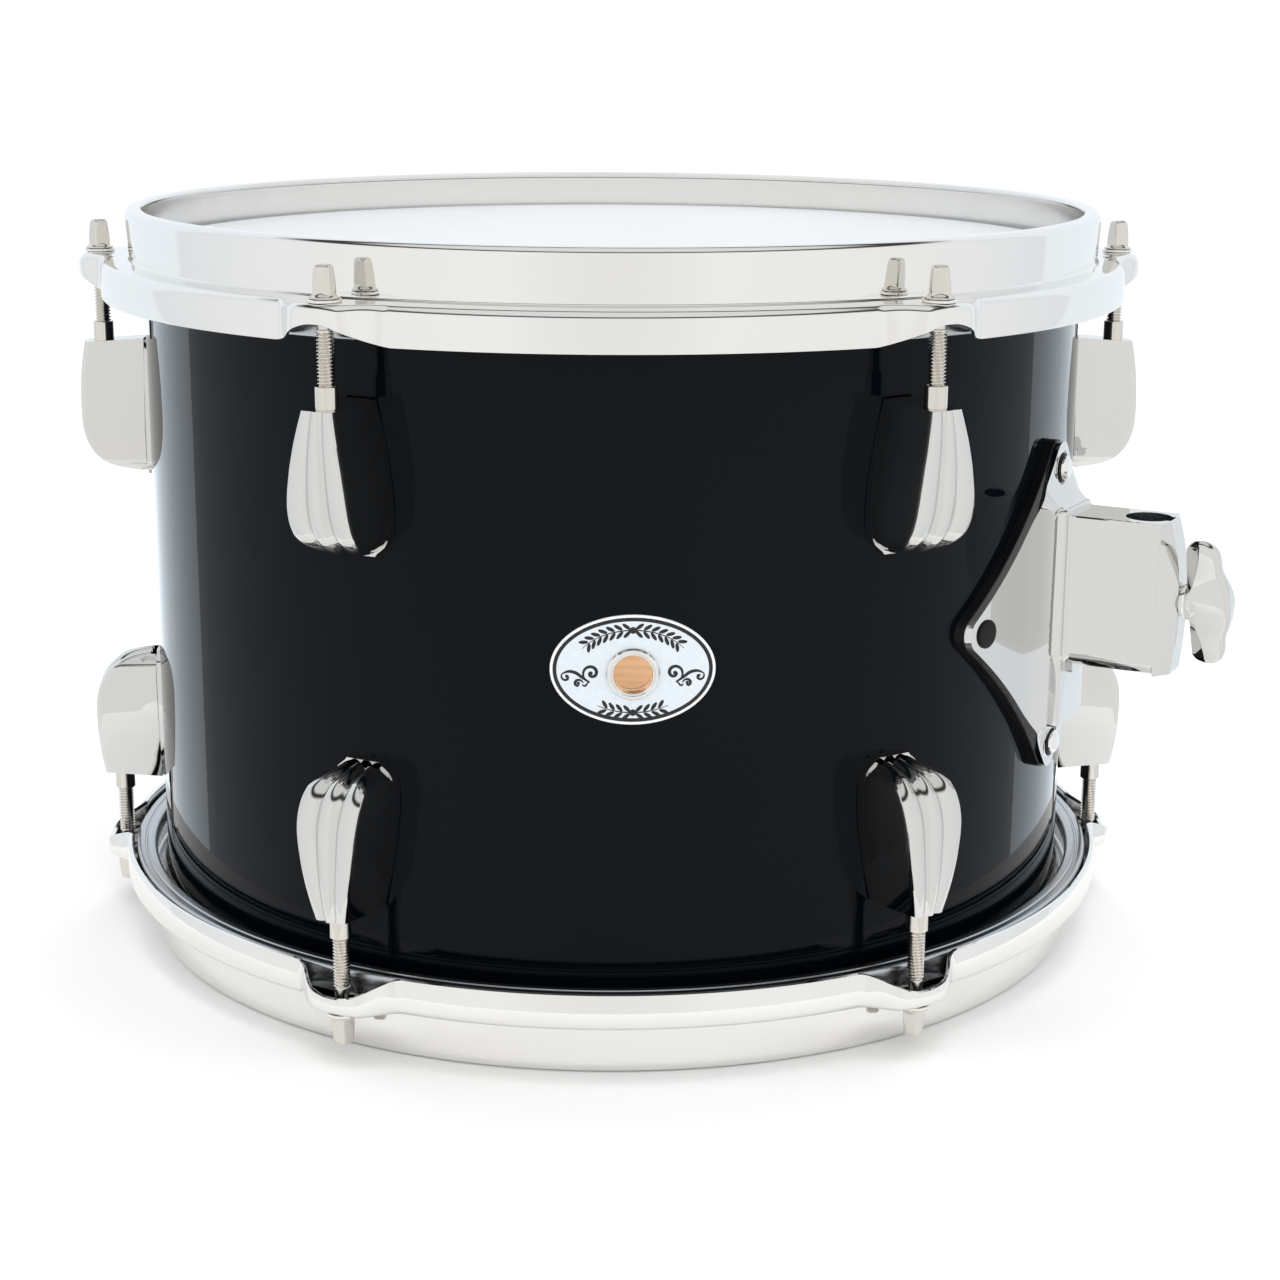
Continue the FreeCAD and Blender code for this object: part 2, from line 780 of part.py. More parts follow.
def build_badge():
    """Oval badge held on by the grommet of the vent hole."""
    steps = 48
    turns = [2 * math.pi * i / steps for i in range(steps)]
    oval = [
        (
            size("badge_width") / 2 * math.cos(t),
            size("badge_height") / 2 * math.sin(t) + size("badge_rise"),
        )
        for t in turns
    ]
    hole = [((0, 0), size("grommet_radius") + 0.1)]
    inner = shell_radius + 0.02
    curved_slab("badge_plate", oval, inner, inner + size("badge_wall"), middle, hole)

    wall = size("shell_wall")
    face = size("badge_wall") + 0.05
    grommet = new_body("vent_grommet")
    tube = size("grommet_radius")
    flange = size("grommet_flange")
    section = [
        (size("vent_radius"), -wall - 1.4),
        (tube, -wall - 1.4),
        (tube, face),
        (flange, face),
        (flange, face + 0.5),
        (flange - 0.6, face + 1.1),
        (flange - 1.2, face + 1.3),
        (size("vent_radius") + 0.4, face + 1.0),
        (size("vent_radius"), face + 0.5),
    ]
    revolve(grommet, "tube", section)
    finish(grommet, beside(middle, shell_radius.number, 0, RADIAL))

    lock = new_body("vent_grommet_washer")
    ring = [
        (tube + 0.02, -wall - 1.2),
        (flange + 1, -wall - 1.2),
        (flange + 1, -wall - 0.35),
        (tube + 0.02, -wall - 0.35),
    ]
    revolve(lock, "ring", ring)
    finish(lock, beside(middle, shell_radius.number, 0, RADIAL))


# ---------------------------------------------------------------- tom mount

mount_place = middle.multiply(turned(sheet.get("mount_angle")))
plate_back = shell_radius + size("gasket_wall")
plate_face = plate_back + size("plate_wall")


def diamond(grow):
    """The mount plate's outline: four round tips joined by slightly hollow sides."""
    tip = size("plate_half") + grow
    centre = size("mount_level")
    corner = 6.5
    points = []
    for quarter in range(4):
        away = Vector(math.cos(quarter * math.pi / 2), math.sin(quarter * math.pi / 2), 0)
        side = Vector(-away.y, away.x, 0)
        for step in (-50, -25, 0, 25, 50):
            lean = math.radians(step)
            out = tip + corner * (math.cos(lean) - 1)
            across = corner * math.sin(lean)
            points.append((out * away.x + across * side.x, out * away.y + across * side.y))
        middle_of_side = (away + side) * 0.5
        hollow = tip * 0.96
        points.append((hollow * middle_of_side.x, hollow * middle_of_side.y))
    return [(x, z + centre) for x, z in points]


def build_mount():
    """Rubber gasket and cast bracket: curved plate, receiver block, arm bore and eye bolt tunnel."""
    inner = shell_radius + 0.02
    gasket = curved_slab("mount_gasket", diamond(0.8), inner, plate_back - 0.02, mount_place)
    mount_holes(gasket, 0, size("screw_radius") + 0.3)

    body = curved_slab("mount_bracket", diamond(0), plate_back, plate_face, mount_place)
    mount_holes(body, 0, as_size(5.0))
    half = size("block_half")
    top = size("block_top")
    foot = size("block_foot")
    start = plate_back + 0.2

    pedestal = new_sketch(body, "pedestal_outline", "XZ_Plane", level=start)
    wide = size("pad_half") + size("flare") + 2
    high = size("pad_top") + size("flare")
    low = size("pad_foot") - size("flare") / 4
    add_outline(pedestal, [(-wide, low), (wide, low), (wide, high), (-wide, high)])
    neck = new_sketch(body, "neck_outline", "XZ_Plane", level=size("pad_reach") - 2.2)
    slim = size("pad_half")
    pad_top = size("pad_top")
    pad_foot = size("pad_foot")
    pad_outline = [(-slim, pad_foot), (slim, pad_foot), (slim, pad_top), (-slim, pad_top)]
    add_outline(neck, pad_outline)
    loft = body.newObject("PartDesign::AdditiveLoft", "mount_bracket_pedestal")
    loft.Profile = pedestal
    loft.Sections = [neck]
    loft.Ruled = True

    pad = new_sketch(body, "pad_outline", "XZ_Plane", level=size("pad_reach") - 2.3)
    add_outline(pad, pad_outline)
    extrude(body, "pad", pad, 2.3)

    block = new_sketch(body, "block_outline", "XZ_Plane", level=start)
    add_outline(block, [(-half, foot), (half, foot), (half, top), (-half, top)])
    extrude(body, "block", block, size("block_reach") + 3.2 - start)
    doc.recompute()
    front = -(size("block_reach") + 3.1).number
    round_edges(body, "block_nose", 3.0, lambda e: e.BoundBox.YMax < front)

    end_pad = new_sketch(body, "end_pad_outline", "XZ_Plane", level=size("block_reach") + 1)
    add_outline(
        end_pad,
        [
            (-(half - 3.4), foot + 1.8),
            (half - 3.4, foot + 1.8),
            (half - 3.4, top - 1.8),
            (-(half - 3.4), top - 1.8),
        ],
    )
    extrude(body, "end_pad", end_pad, size("cap_reach") - size("block_reach") - 1)

    bore = new_sketch(body, "bore_outline", "XY_Plane", level=foot - 5)
    add_circle(bore, (0, -size("arm_circle")), size("arm_bore"))
    cut(body, "bore", bore, top - foot + 10, along=True)

    eye = size("arm_bore") + size("eye_wall")
    room = eye + 0.35
    axis = size("wing_level")
    tunnel = new_sketch(body, "tunnel_outline", "XZ_Plane", level=plate_back - 6)
    deep = size("eye_depth") / 2 + 0.4
    add_outline(
        tunnel,
        [(-room, axis - deep), (room, axis - deep), (room, axis + deep), (-room, axis + deep)],
    )
    cut(body, "tunnel", tunnel, size("arm_circle") - plate_back + 6, along=True)
    drawn_out = size("arm_circle") + size("eye_travel") + 0.3
    for name, centre in (("eye_seat", size("arm_circle")), ("eye_draw", drawn_out)):
        seat = new_sketch(body, f"{name}_outline", "XY_Plane", level=axis - deep)
        add_circle(seat, (0, -centre), room)
        cut(body, name, seat, deep * 2, along=True)

    shank = new_sketch(body, "shank_outline", "XZ_Plane", level=size("arm_circle"))
    add_circle(shank, (0, axis), size("bolt_radius") + 0.25)
    cut(body, "shank_hole", shank, 30, along=True)


def build_mount_fixings():
    """Two screws with rubber isolators above and below, and rubber plugs in the side holes."""
    face = plate_face - shell_radius
    wall = size("shell_wall")
    shank = size("screw_radius")
    level = sheet.get("mount_level")
    reach = sheet.get("plate_screw")
    spread = sheet.get("plate_fix_angle")
    base = shell_radius.number
    upright = [beside(mount_place, base, level + way * reach, RADIAL) for way in (1, -1)]
    sideways = [
        beside(middle.multiply(turned(sheet.get("mount_angle") + way * spread)), base, level, RADIAL)
        for way in (1, -1)
    ]

    screw = new_body("mount_screw_pattern")
    section = [
        (0, -wall - 8.5),
        (shank - 0.5, -wall - 8.5),
        (shank, -wall - 8),
        (shank, face + 1.3),
        (3.9, face + 1.3),
        (3.9, face + 1.8),
        (3.2, face + 2.9),
        (1.8, face + 3.3),
        (0, face + 3.3),
    ]
    revolve(screw, "screw", section)
    group("mount_screws", screw, upright)

    isolator = new_body("mount_isolator_pattern")
    ring = [
        (shank + 0.1, size("gasket_wall") + 0.15),
        (4.9, size("gasket_wall") + 0.15),
        (4.9, face + 0.15),
        (5.6, face + 0.15),
        (5.6, face + 0.8),
        (5.0, face + 1.28),
        (shank + 0.1, face + 1.28),
    ]
    revolve(isolator, "ring", ring)
    group("mount_isolators", isolator, upright)

    plug = new_body("mount_plug_pattern")
    disc = [
        (0, size("gasket_wall") + 0.15),
        (4.9, size("gasket_wall") + 0.15),
        (4.9, face + 0.1),
        (5.4, face + 0.1),
        (5.4, face + 0.5),
        (4.0, face + 1.1),
        (0, face + 1.3),
    ]
    revolve(plug, "disc", disc)
    group("mount_plugs", plug, sideways)

    washer = new_body("mount_washer_pattern")
    ring = [
        (shank + 0.15, -wall - 1.6),
        (7.5, -wall - 1.6),
        (7.5, -wall - 0.25),
        (shank + 0.15, -wall - 0.25),
    ]
    revolve(washer, "washer", ring)
    group("mount_washers", washer, upright)

    nut = new_body("mount_nut_pattern")
    hexagon = new_sketch(nut, "hex_outline", "XY_Plane", level=-wall - 6)
    corners = [2 * math.pi * i / 6 for i in range(6)]
    add_outline(hexagon, [(4.6 * math.cos(t), 4.6 * math.sin(t)) for t in corners])
    add_circle(hexagon, (0, 0), shank + 0.03)
    extrude(nut, "hex", hexagon, 4.3)
    group("mount_lock_nuts", nut, upright)


def build_clamp():
    """Eye bolt round the arm bore, and the wing nut that draws it outwards to grip the arm."""
    axis = size("wing_level")
    arm = size("arm_circle")
    eye = size("arm_bore") + size("eye_wall")
    bolt = size("bolt_radius")
    pad = size("cap_reach")

    eye_bolt = new_body("clamp_eye_bolt")
    ring = new_sketch(eye_bolt, "eye_outline", "XY_Plane", level=axis - size("eye_depth") / 2)
    add_circle(ring, (0, -arm), eye)
    extrude(eye_bolt, "eye", ring, size("eye_depth"))
    shank = new_sketch(eye_bolt, "shank_outline", "XZ_Plane", level=arm)
    add_circle(shank, (0, axis), bolt)
    extrude(eye_bolt, "shank", shank, pad + 8.5 - arm)
    hole = new_sketch(eye_bolt, "hole_outline", "XY_Plane", level=axis - size("eye_depth"))
    add_circle(hole, (0, -arm), size("arm_bore"))
    cut(eye_bolt, "hole", hole, size("eye_depth") * 2, along=True)
    finish(eye_bolt, mount_place)

    washer = new_body("wing_washer")
    ring = [
        (bolt + 0.25, pad),
        (size("wing_hub") + 0.9, pad),
        (size("wing_hub") + 0.9, pad + 0.8),
        (bolt + 0.25, pad + 0.8),
    ]
    revolve(washer, "ring", ring)
    finish(washer, beside(mount_place, 0, axis.number, RADIAL))

    wing = new_body("wing_nut")
    hub_foot = pad + 0.9
    hub = size("wing_hub")
    section = [
        (0, hub_foot),
        (hub, hub_foot),
        (hub, hub_foot + 3),
        (hub - 0.8, hub_foot + 9),
        (hub - 2.4, hub_foot + 12.4),
        (0, hub_foot + 13.4),
    ]
    revolve(wing, "hub", section)
    tip = size("wing_half")
    half = [
        (0, hub_foot + 14.6),
        (3.0, hub_foot + 14.3),
        (7.5, hub_foot + 12.2),
        (11.5, hub_foot + 10.4),
        (15.5, hub_foot + 10.7),
        (tip - 3, hub_foot + 10.4),
        (tip - 0.6, hub_foot + 8.0),
        (tip, hub_foot + 5.6),
        (tip - 1.0, hub_foot + 3.0),
        (tip - 3.4, hub_foot + 1.7),
        (15.5, hub_foot + 1.9),
        (8.5, hub_foot + 2.6),
        (0, hub_foot + 2.6),
    ]
    blade = new_sketch(wing, "blade_outline", "XZ_Plane")
    mirrored = [(-x, z) for x, z in reversed(half[1:-1])]
    add_outline(blade, half + mirrored)
    extrude(wing, "blade", blade, size("wing_wall"), both=True)
    bore = new_sketch(wing, "bore_outline", "XY_Plane", level=hub_foot - 1)
    add_circle(bore, (0, 0), bolt + 0.06)
    cut(wing, "bore", bore, as_size(11.9), along=True)
    lean = Rotation(Vector(0, 0, 1), 90 + sheet.get("wing_tilt"))
    finish(wing, beside(mount_place, 0, axis.number, RADIAL.multiply(lean)))


# ---------------------------------------------------------------- build, check and export

build_shell()
build_rings()
build_heads()
build_hoops()
build_rods()
build_rod_washers()
build_nuts()
build_lugs()
build_lug_screws()
build_badge()
build_mount()
build_mount_fixings()
build_clamp()
doc.recompute()

for item in doc.Objects:
    if "Invalid" in item.State or "Error" in item.State:
        raise ValueError(f"{item.Label} did not build: {item.State}")
for piece in finished:
    if piece.Shape.isNull() or not piece.Shape.isValid() or not piece.Shape.Solids:
        raise ValueError(f"{piece.Label} has no valid shape")

os.makedirs(OUT, exist_ok=True)
for piece in finished:
    piece.Shape.exportStep(os.path.join(OUT, f"{piece.Label}.step"))
    print(f"{piece.Label}: {len(piece.Shape.Solids)} solid(s), {piece.Shape.Volume:.1f} mm3")
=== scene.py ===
"""Looks of a 13 by 9 inch rack tom tom drum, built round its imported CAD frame.

Lengths are written in millimetres and become metres when a mesh is made. Pieces of one end are drawn
with Z pointing out of the drum from its middle plane and at the badge's side (-Y); placed() moves
them to their end and angle. Each visible CAD node is replaced by a finer mesh or given a material.
"""

import json
import math

import bmesh
import bpy
from mathutils import Matrix, Vector


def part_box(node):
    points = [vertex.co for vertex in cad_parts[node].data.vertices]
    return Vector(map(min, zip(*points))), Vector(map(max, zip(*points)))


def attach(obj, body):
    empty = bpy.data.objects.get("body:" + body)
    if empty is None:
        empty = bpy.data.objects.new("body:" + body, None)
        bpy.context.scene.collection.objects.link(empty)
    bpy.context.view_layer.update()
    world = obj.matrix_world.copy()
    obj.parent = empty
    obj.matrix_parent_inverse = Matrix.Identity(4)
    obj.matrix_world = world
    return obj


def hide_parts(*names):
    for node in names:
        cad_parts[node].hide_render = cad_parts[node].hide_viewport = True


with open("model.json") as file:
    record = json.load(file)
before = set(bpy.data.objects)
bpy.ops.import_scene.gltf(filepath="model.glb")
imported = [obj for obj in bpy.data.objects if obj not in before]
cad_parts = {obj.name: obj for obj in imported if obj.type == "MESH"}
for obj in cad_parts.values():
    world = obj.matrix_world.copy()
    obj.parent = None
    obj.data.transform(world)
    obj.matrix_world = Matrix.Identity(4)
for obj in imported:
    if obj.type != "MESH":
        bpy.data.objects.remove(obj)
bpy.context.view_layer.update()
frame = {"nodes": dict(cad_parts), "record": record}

MM = 0.001
scene = bpy.context.scene
record = frame["record"]

# ---------------------------------------------------------------- sizes read from the frame


def box_mm(node):
    """Lowest and highest corner of a CAD node, in millimetres."""
    low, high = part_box(node)
    return Vector(low) / MM, Vector(high) / MM


def heights(node):
    """Foot and top of a CAD node, above the drum's middle plane."""
    low, high = box_mm(node)
    return low.z - MIDDLE, high.z - MIDDLE


shell_low, shell_high = box_mm("shell")
SHELL = (shell_high.x - shell_low.x) / 2  # outside radius of the wood shell
WALL = 6.0  # of the shell
MIDDLE = (shell_high.z + shell_low.z) / 2  # height of the middle plane
HALF_DEPTH = (shell_high.z - shell_low.z) / 2
RIM = heights("batter_hoop")[1]  # middle plane to a hoop's rim

arm_bore = next(m for m in record["mounts"] if m["name"] == "arm_bore")
BORE = arm_bore["dims"]["r_mm"]
MOUNT_ANGLE = math.degrees(math.atan2(arm_bore["pos_m"][0], -arm_bore["pos_m"][1]))
ARM_CIRCLE = math.hypot(*arm_bore["pos_m"][:2]) / MM

ENDS = ("batter", "resonant")
STATIONS = {
    "front_right": 30,
    "right": 90,
    "rear_right": 150,
    "rear_left": 210,
    "left": 270,
    "front_left": 330,
}
rod_low, rod_high = box_mm("batter_tension_rod_right")
ROD_CIRCLE = (rod_low.x + rod_high.x) / 2
ROD_FOOT, ROD_TOP = heights("batter_tension_rod_right")
PITCH = 25.4 / 24  # thread pitch of a tension rod
WASHER_FOOT = heights("batter_rod_washers")[0]
WASHER = 1.0  # thickness of a rod washer
SHEET = 2.0  # thickness of a hoop's steel

# ---------------------------------------------------------------- mesh helpers


def middle_of_drum(turn=0):
    """Drawing space to the drum's own space: up to the middle plane and round by turn degrees."""
    return Matrix.Translation((0, 0, MIDDLE)) @ Matrix.Rotation(math.radians(turn), 4, "Z")


def placed(end, turn=0):
    """Where a piece drawn for one end goes: the batter end is up, the resonant end is down."""
    if end == "batter":
        return middle_of_drum(turn)
    over = Matrix.Rotation(math.pi, 4, "X")
    return Matrix.Translation((0, 0, MIDDLE)) @ over @ Matrix.Rotation(math.radians(180 - turn), 4, "Z")


TO_ROD = Matrix.Translation((0, -ROD_CIRCLE, 0))  # puts a piece drawn round its own axis on the rod circle


OUTWARDS = Matrix.Rotation(math.pi / 2, 4, "X")  # turns a piece drawn along +Z to point out at the badge


def spread(low, high, steps):
    """Evenly spaced numbers from low to high, with this many gaps between them."""
    return [low + (high - low) * i / steps for i in range(steps + 1)]


def ease(value, start, end):
    """0 at start, 1 at end, smooth between."""
    t = min(1.0, max(0.0, (value - start) / (end - start)))
    return t * t * (3 - 2 * t)


def rounded(corners, closed=True, steps=6):
    """An outline from corners (a, b) or (a, b, radius), each rounded by an arc of its radius."""
    outline = []
    count = len(corners)
    for i, corner in enumerate(corners):
        here = Vector(corner[:2])
        radius = corner[2] if len(corner) > 2 else 0
        if radius <= 0 or (not closed and i in (0, count - 1)):
            outline.append(here)
            continue
        back = Vector(corners[i - 1][:2]) - here
        ahead = Vector(corners[(i + 1) % count][:2]) - here
        half = back.angle(ahead) / 2
        reach = min(radius / math.tan(half), 0.49 * back.length, 0.49 * ahead.length)
        start = here + back.normalized() * reach
        end = here + ahead.normalized() * reach
        lean = (back.normalized() + ahead.normalized()).normalized()
        centre = here + lean * reach / math.cos(half)
        first = start - centre
        sweep = first.angle_signed(end - centre)
        for step in range(steps + 1):
            angle = -sweep * step / steps
            turned = Matrix.Rotation(angle, 2) @ first
            outline.append(centre + turned)
    return outline


def curve_through(points, steps):
    """A smooth open curve through (a, b) points, steps to each span."""
    ends = [points[0]] + list(points) + [points[-1]]
    curve = []
    for i in range(len(points) - 1):
        p0, p1, p2, p3 = (Vector(p) for p in ends[i:i + 4])
        for step in range(steps):
            t = step / steps
            curve.append(
                0.5 * (2 * p1 + (p2 - p0) * t + (2 * p0 - 5 * p1 + 4 * p2 - p3) * t * t
                       + (3 * p1 - p0 - 3 * p2 + p3) * t ** 3)
            )
    curve.append(Vector(points[-1]))
    return curve


def between(table, value):
    """Height at a place, from a table of (place, height) pairs joined by straight lines."""
    if value <= table[0][0]:
        return table[0][1]
    for (a, low), (b, high) in zip(table, table[1:]):
        if value <= b:
            return low + (high - low) * (value - a) / (b - a)
    return table[-1][1]


def wrap(x, z, radius):
    """A point of a flat drawing laid on the drum at a radius from its axis."""
    return Vector((x, -math.sqrt(radius * radius - x * x), z))


class Shape:
    """A mesh in the making: points in millimetres, and faces."""

    def __init__(self):
        self.points = []
        self.faces = []

    def face(self, indices):
        self.faces.append(tuple(indices))

    def grid(self, rows, close_rows=False, close_columns=False, place=None):
        """A skin over rows of points."""
        base = len(self.points)
        wide = len(rows[0])
        for row in rows:
            self.points.extend(place @ p if place else p for p in row)
        for r in range(len(rows) if close_rows else len(rows) - 1):
            near = base + r * wide
            far = base + (r + 1) % len(rows) * wide
            for c in range(wide if close_columns else wide - 1):
                d = (c + 1) % wide
                self.face((near + c, near + d, far + d, far + c))
        return base

    def lathe(self, profile, steps=64, closed=True, place=None):
        """A profile of (radius, height) points turned round Z."""
        rows = []
        for i in range(steps):
            angle = 2 * math.pi * i / steps
            rows.append([Vector((r * math.cos(angle), r * math.sin(angle), z)) for r, z in profile])
        self.grid(rows, close_rows=True, close_columns=closed, place=place)

    def tube(self, loops):
        """A skin over closed loops, with a flat face at each end."""
        base = self.grid(loops, close_columns=True)
        wide = len(loops[0])
        self.face(range(base, base + wide))
        last = base + wide * (len(loops) - 1)
        self.face(range(last, last + wide))


def bar(radius, low, high, place=None, steps=64):
    """A round bar from low to high on its own axis, as a cutting tool."""
    tool = Shape()
    tool.lathe([(0, low), (radius, low), (radius, high), (0, high)], steps, closed=False, place=place)
    return tool


def make(name, shape, materials, sharp=35):
    """A Blender object from a Shape, with smooth faces and sharp edges above an angle."""
    mesh = bpy.data.meshes.new(name)
    mesh.from_pydata([p * MM for p in shape.points], [], shape.faces)
    for material in materials:
        mesh.materials.append(material)
    clean = bmesh.new()
    clean.from_mesh(mesh)
    bmesh.ops.remove_doubles(clean, verts=clean.verts, dist=2e-6)
    bmesh.ops.dissolve_degenerate(clean, edges=clean.edges, dist=1e-6)
    bmesh.ops.recalc_face_normals(clean, faces=clean.faces)
    clean.to_mesh(mesh)
    clean.free()
    piece = bpy.data.objects.new(name, mesh)
    scene.collection.objects.link(piece)
    smooth(piece, sharp)
    return piece


def smooth(piece, sharp):
    """Smooth shading with sharp edges where faces meet at more than an angle in degrees."""
    piece.data.polygons.foreach_set("use_smooth", [True] * len(piece.data.polygons))
    piece.data.set_sharp_from_angle(angle=math.radians(sharp))


def bevel(piece, width, segments=3, angle=50):
    """Rounds a piece's hard edges by a width in millimetres."""
    made = piece.modifiers.new("soft_edges", "BEVEL")
    made.width = width * MM
    made.segments = segments
    made.limit_method = "ANGLE"
    made.angle_limit = math.radians(angle)
    made.harden_normals = True
    made.miter_outer = "MITER_ARC"
    return piece


def cut_away(piece, tools, sharp=35):
    """Removes the volume of the tool Shapes from a piece and bakes the result."""
    for i, tool in enumerate(tools):
        cutter = make(f"{piece.name}_cutter_{i}", tool, [])
        made = piece.modifiers.new("cut", "BOOLEAN")
        made.operation = "DIFFERENCE"
        made.solver = "EXACT"
        made.object = cutter
        graph = bpy.context.evaluated_depsgraph_get()
        result = bpy.data.meshes.new_from_object(piece.evaluated_get(graph))
        piece.modifiers.clear()
        piece.data = result
        bpy.data.objects.remove(cutter)
    smooth(piece, sharp)
    return piece


def in_metres(place):
    """A placement in millimetres as one for meshes and objects in metres."""
    return Matrix.Scale(MM, 4) @ place @ Matrix.Scale(1 / MM, 4)


def settle(piece, body, nodes=(), place=None):
    """Puts a piece in its place, on its body and in place of its CAD nodes."""
    if place is not None:
        piece.matrix_world = in_metres(place)
    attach(piece, body)
    if nodes:
        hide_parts(*nodes)
    return piece


def copy_of(piece, name):
    """Another object that shares a piece's mesh and modifiers."""
    other = piece.copy()
    other.name = name
    scene.collection.objects.link(other)
    return other


# ---------------------------------------------------------------- materials


def material(name, colour, **sockets):
    """A node material: its tree, its Principled shader and the material itself."""
    made = bpy.data.materials.new(name)
    made.use_nodes = True
    shader = made.node_tree.nodes["Principled BSDF"]
    shader.inputs["Base Color"].default_value = (*colour, 1)
    for socket, value in sockets.items():
        shader.inputs[socket.replace("_", " ")].default_value = value
    return made, made.node_tree, shader


def node(tree, kind, **settings):
    """A node of a kind, with its inputs or attributes set by name."""
    made = tree.nodes.new(f"ShaderNode{kind}")
    for name, value in settings.items():
        label = name.replace("_", " ")
        if label in made.inputs:
            made.inputs[label].default_value = value
        else:
            setattr(made, name, value)
    return made


def stretched(tree, scale=(1, 1, 1)):
    """Object coordinates multiplied by a scale on each axis."""
    place = node(tree, "TexCoord")
    mapping = node(tree, "Mapping", Scale=scale)
    tree.links.new(place.outputs["Object"], mapping.inputs["Vector"])
    return mapping.outputs["Vector"]


def noise(tree, vector, scale, detail=3.0, roughness=0.5):
    """A noise texture's height."""
    made = node(tree, "TexNoise", Scale=scale, Detail=detail, Roughness=roughness)
    tree.links.new(vector, made.inputs["Vector"])
    return made.outputs[0]


def ramp(tree, height, stops):
    """Colours picked by a height: stops are (place, colour)."""
    made = node(tree, "ValToRGB")
    while len(made.color_ramp.elements) < len(stops):
        made.color_ramp.elements.new(0.5)
    for element, (place, colour) in zip(made.color_ramp.elements, stops):
        element.position = place
        element.color = (*colour, 1)
    tree.links.new(height, made.inputs["Fac"])
    return made.outputs["Color"]


def levels(tree, height, low, high):
    """A height of 0.3 to 0.7 stretched to low and high."""
    made = node(tree, "MapRange")
    for name, value in (("From Min", 0.3), ("From Max", 0.7), ("To Min", low), ("To Max", high)):
        made.inputs[name].default_value = value
    tree.links.new(height, made.inputs["Value"])
    return made.outputs["Result"]


def bump(tree, shader, height, strength, distance):
    """Feeds a height to the shader's normal."""
    made = node(tree, "Bump", Strength=strength, Distance=distance)
    tree.links.new(height, made.inputs["Height"])
    tree.links.new(made.outputs["Normal"], shader.inputs["Normal"])


def paint(tree, shader, tone, roughness):
    """Feeds a colour and a roughness to a shader."""
    tree.links.new(tone, shader.inputs["Base Color"])
    tree.links.new(roughness, shader.inputs["Roughness"])


def on_floor_plan(tree, parts):
    """The X and Y of a split vector as a flat vector."""
    flat = node(tree, "CombineXYZ")
    tree.links.new(parts.outputs["X"], flat.inputs["X"])
    tree.links.new(parts.outputs["Y"], flat.inputs["Y"])
    return flat.outputs["Vector"]


def nickel(name, colour=(0.85, 0.85, 0.84), low=0.02, high=0.06, ripple=0.02):
    """Bright nickel plate with faint polishing haze and the slight ripple of buffed metal."""
    made, tree, shader = material(name, colour, Metallic=1.0)
    place = stretched(tree)
    haze = noise(tree, place, 55, detail=6, roughness=0.65)
    tint = noise(tree, place, 9, detail=2)
    warm = tuple(c * k for c, k in zip(colour, (1.0, 0.985, 0.96)))
    paint(tree, shader, ramp(tree, tint, [(0.35, colour), (0.7, warm)]), levels(tree, haze, low, high))
    bump(tree, shader, noise(tree, place, 160, detail=2), ripple, 0.0002)
    return made


def brushed_aluminium():
    """Satin rolled aluminium with fine lines round the drum."""
    made, tree, shader = material("satin_aluminium", (0.5, 0.52, 0.55), Metallic=1.0)
    parts = node(tree, "SeparateXYZ")
    tree.links.new(stretched(tree), parts.inputs["Vector"])
    radius = node(tree, "VectorMath", operation="LENGTH")
    tree.links.new(on_floor_plan(tree, parts), radius.inputs[0])
    round_it = node(tree, "CombineXYZ")
    tree.links.new(radius.outputs["Value"], round_it.inputs["X"])
    tree.links.new(parts.outputs["Z"], round_it.inputs["Y"])
    lines = noise(tree, round_it.outputs["Vector"], 1800, detail=4, roughness=0.7)
    tone = ramp(tree, lines, [(0.3, (0.4, 0.42, 0.45)), (0.7, (0.56, 0.58, 0.61))])
    paint(tree, shader, tone, levels(tree, lines, 0.14, 0.3))
    bump(tree, shader, lines, 0.1, 0.0002)
    return made


def lacquer():
    """Deep black gloss lacquer with the faintest orange peel and polishing haze."""
    made, tree, shader = material("black_lacquer", (0.002, 0.0025, 0.0035), IOR=1.2)
    place = stretched(tree)
    haze = noise(tree, place, 30, detail=5)
    tone = ramp(tree, noise(tree, place, 6), [(0.3, (0.001, 0.0018, 0.003)), (0.7, (0.0017, 0.0028, 0.0044))])
    paint(tree, shader, tone, levels(tree, haze, 0.008, 0.024))
    bump(tree, shader, noise(tree, place, 240, detail=1), 0.012, 0.0004)
    return made


def maple():
    """Clear-sealed maple veneer with grain that runs round the shell."""
    made, tree, shader = material("maple", (0.7, 0.5, 0.31), IOR=1.4)
    place = stretched(tree, (1, 1, 14))
    grain = noise(tree, place, 22, detail=8, roughness=0.62)
    flame = noise(tree, stretched(tree, (3, 3, 0.6)), 16, detail=2)
    tones = [(0.32, (0.66, 0.43, 0.26)), (0.5, (0.8, 0.57, 0.37)), (0.68, (0.87, 0.65, 0.45))]
    colour = node(tree, "Mix", data_type="RGBA", blend_type="MULTIPLY")
    colour.inputs[0].default_value = 0.35
    tree.links.new(ramp(tree, grain, tones), colour.inputs[6])
    soft = ramp(tree, flame, [(0.3, (0.8, 0.76, 0.7)), (0.7, (1, 1, 1))])
    tree.links.new(soft, colour.inputs[7])
    paint(tree, shader, colour.outputs[2], levels(tree, grain, 0.36, 0.52))
    bump(tree, shader, grain, 0.15, 0.0003)
    return made


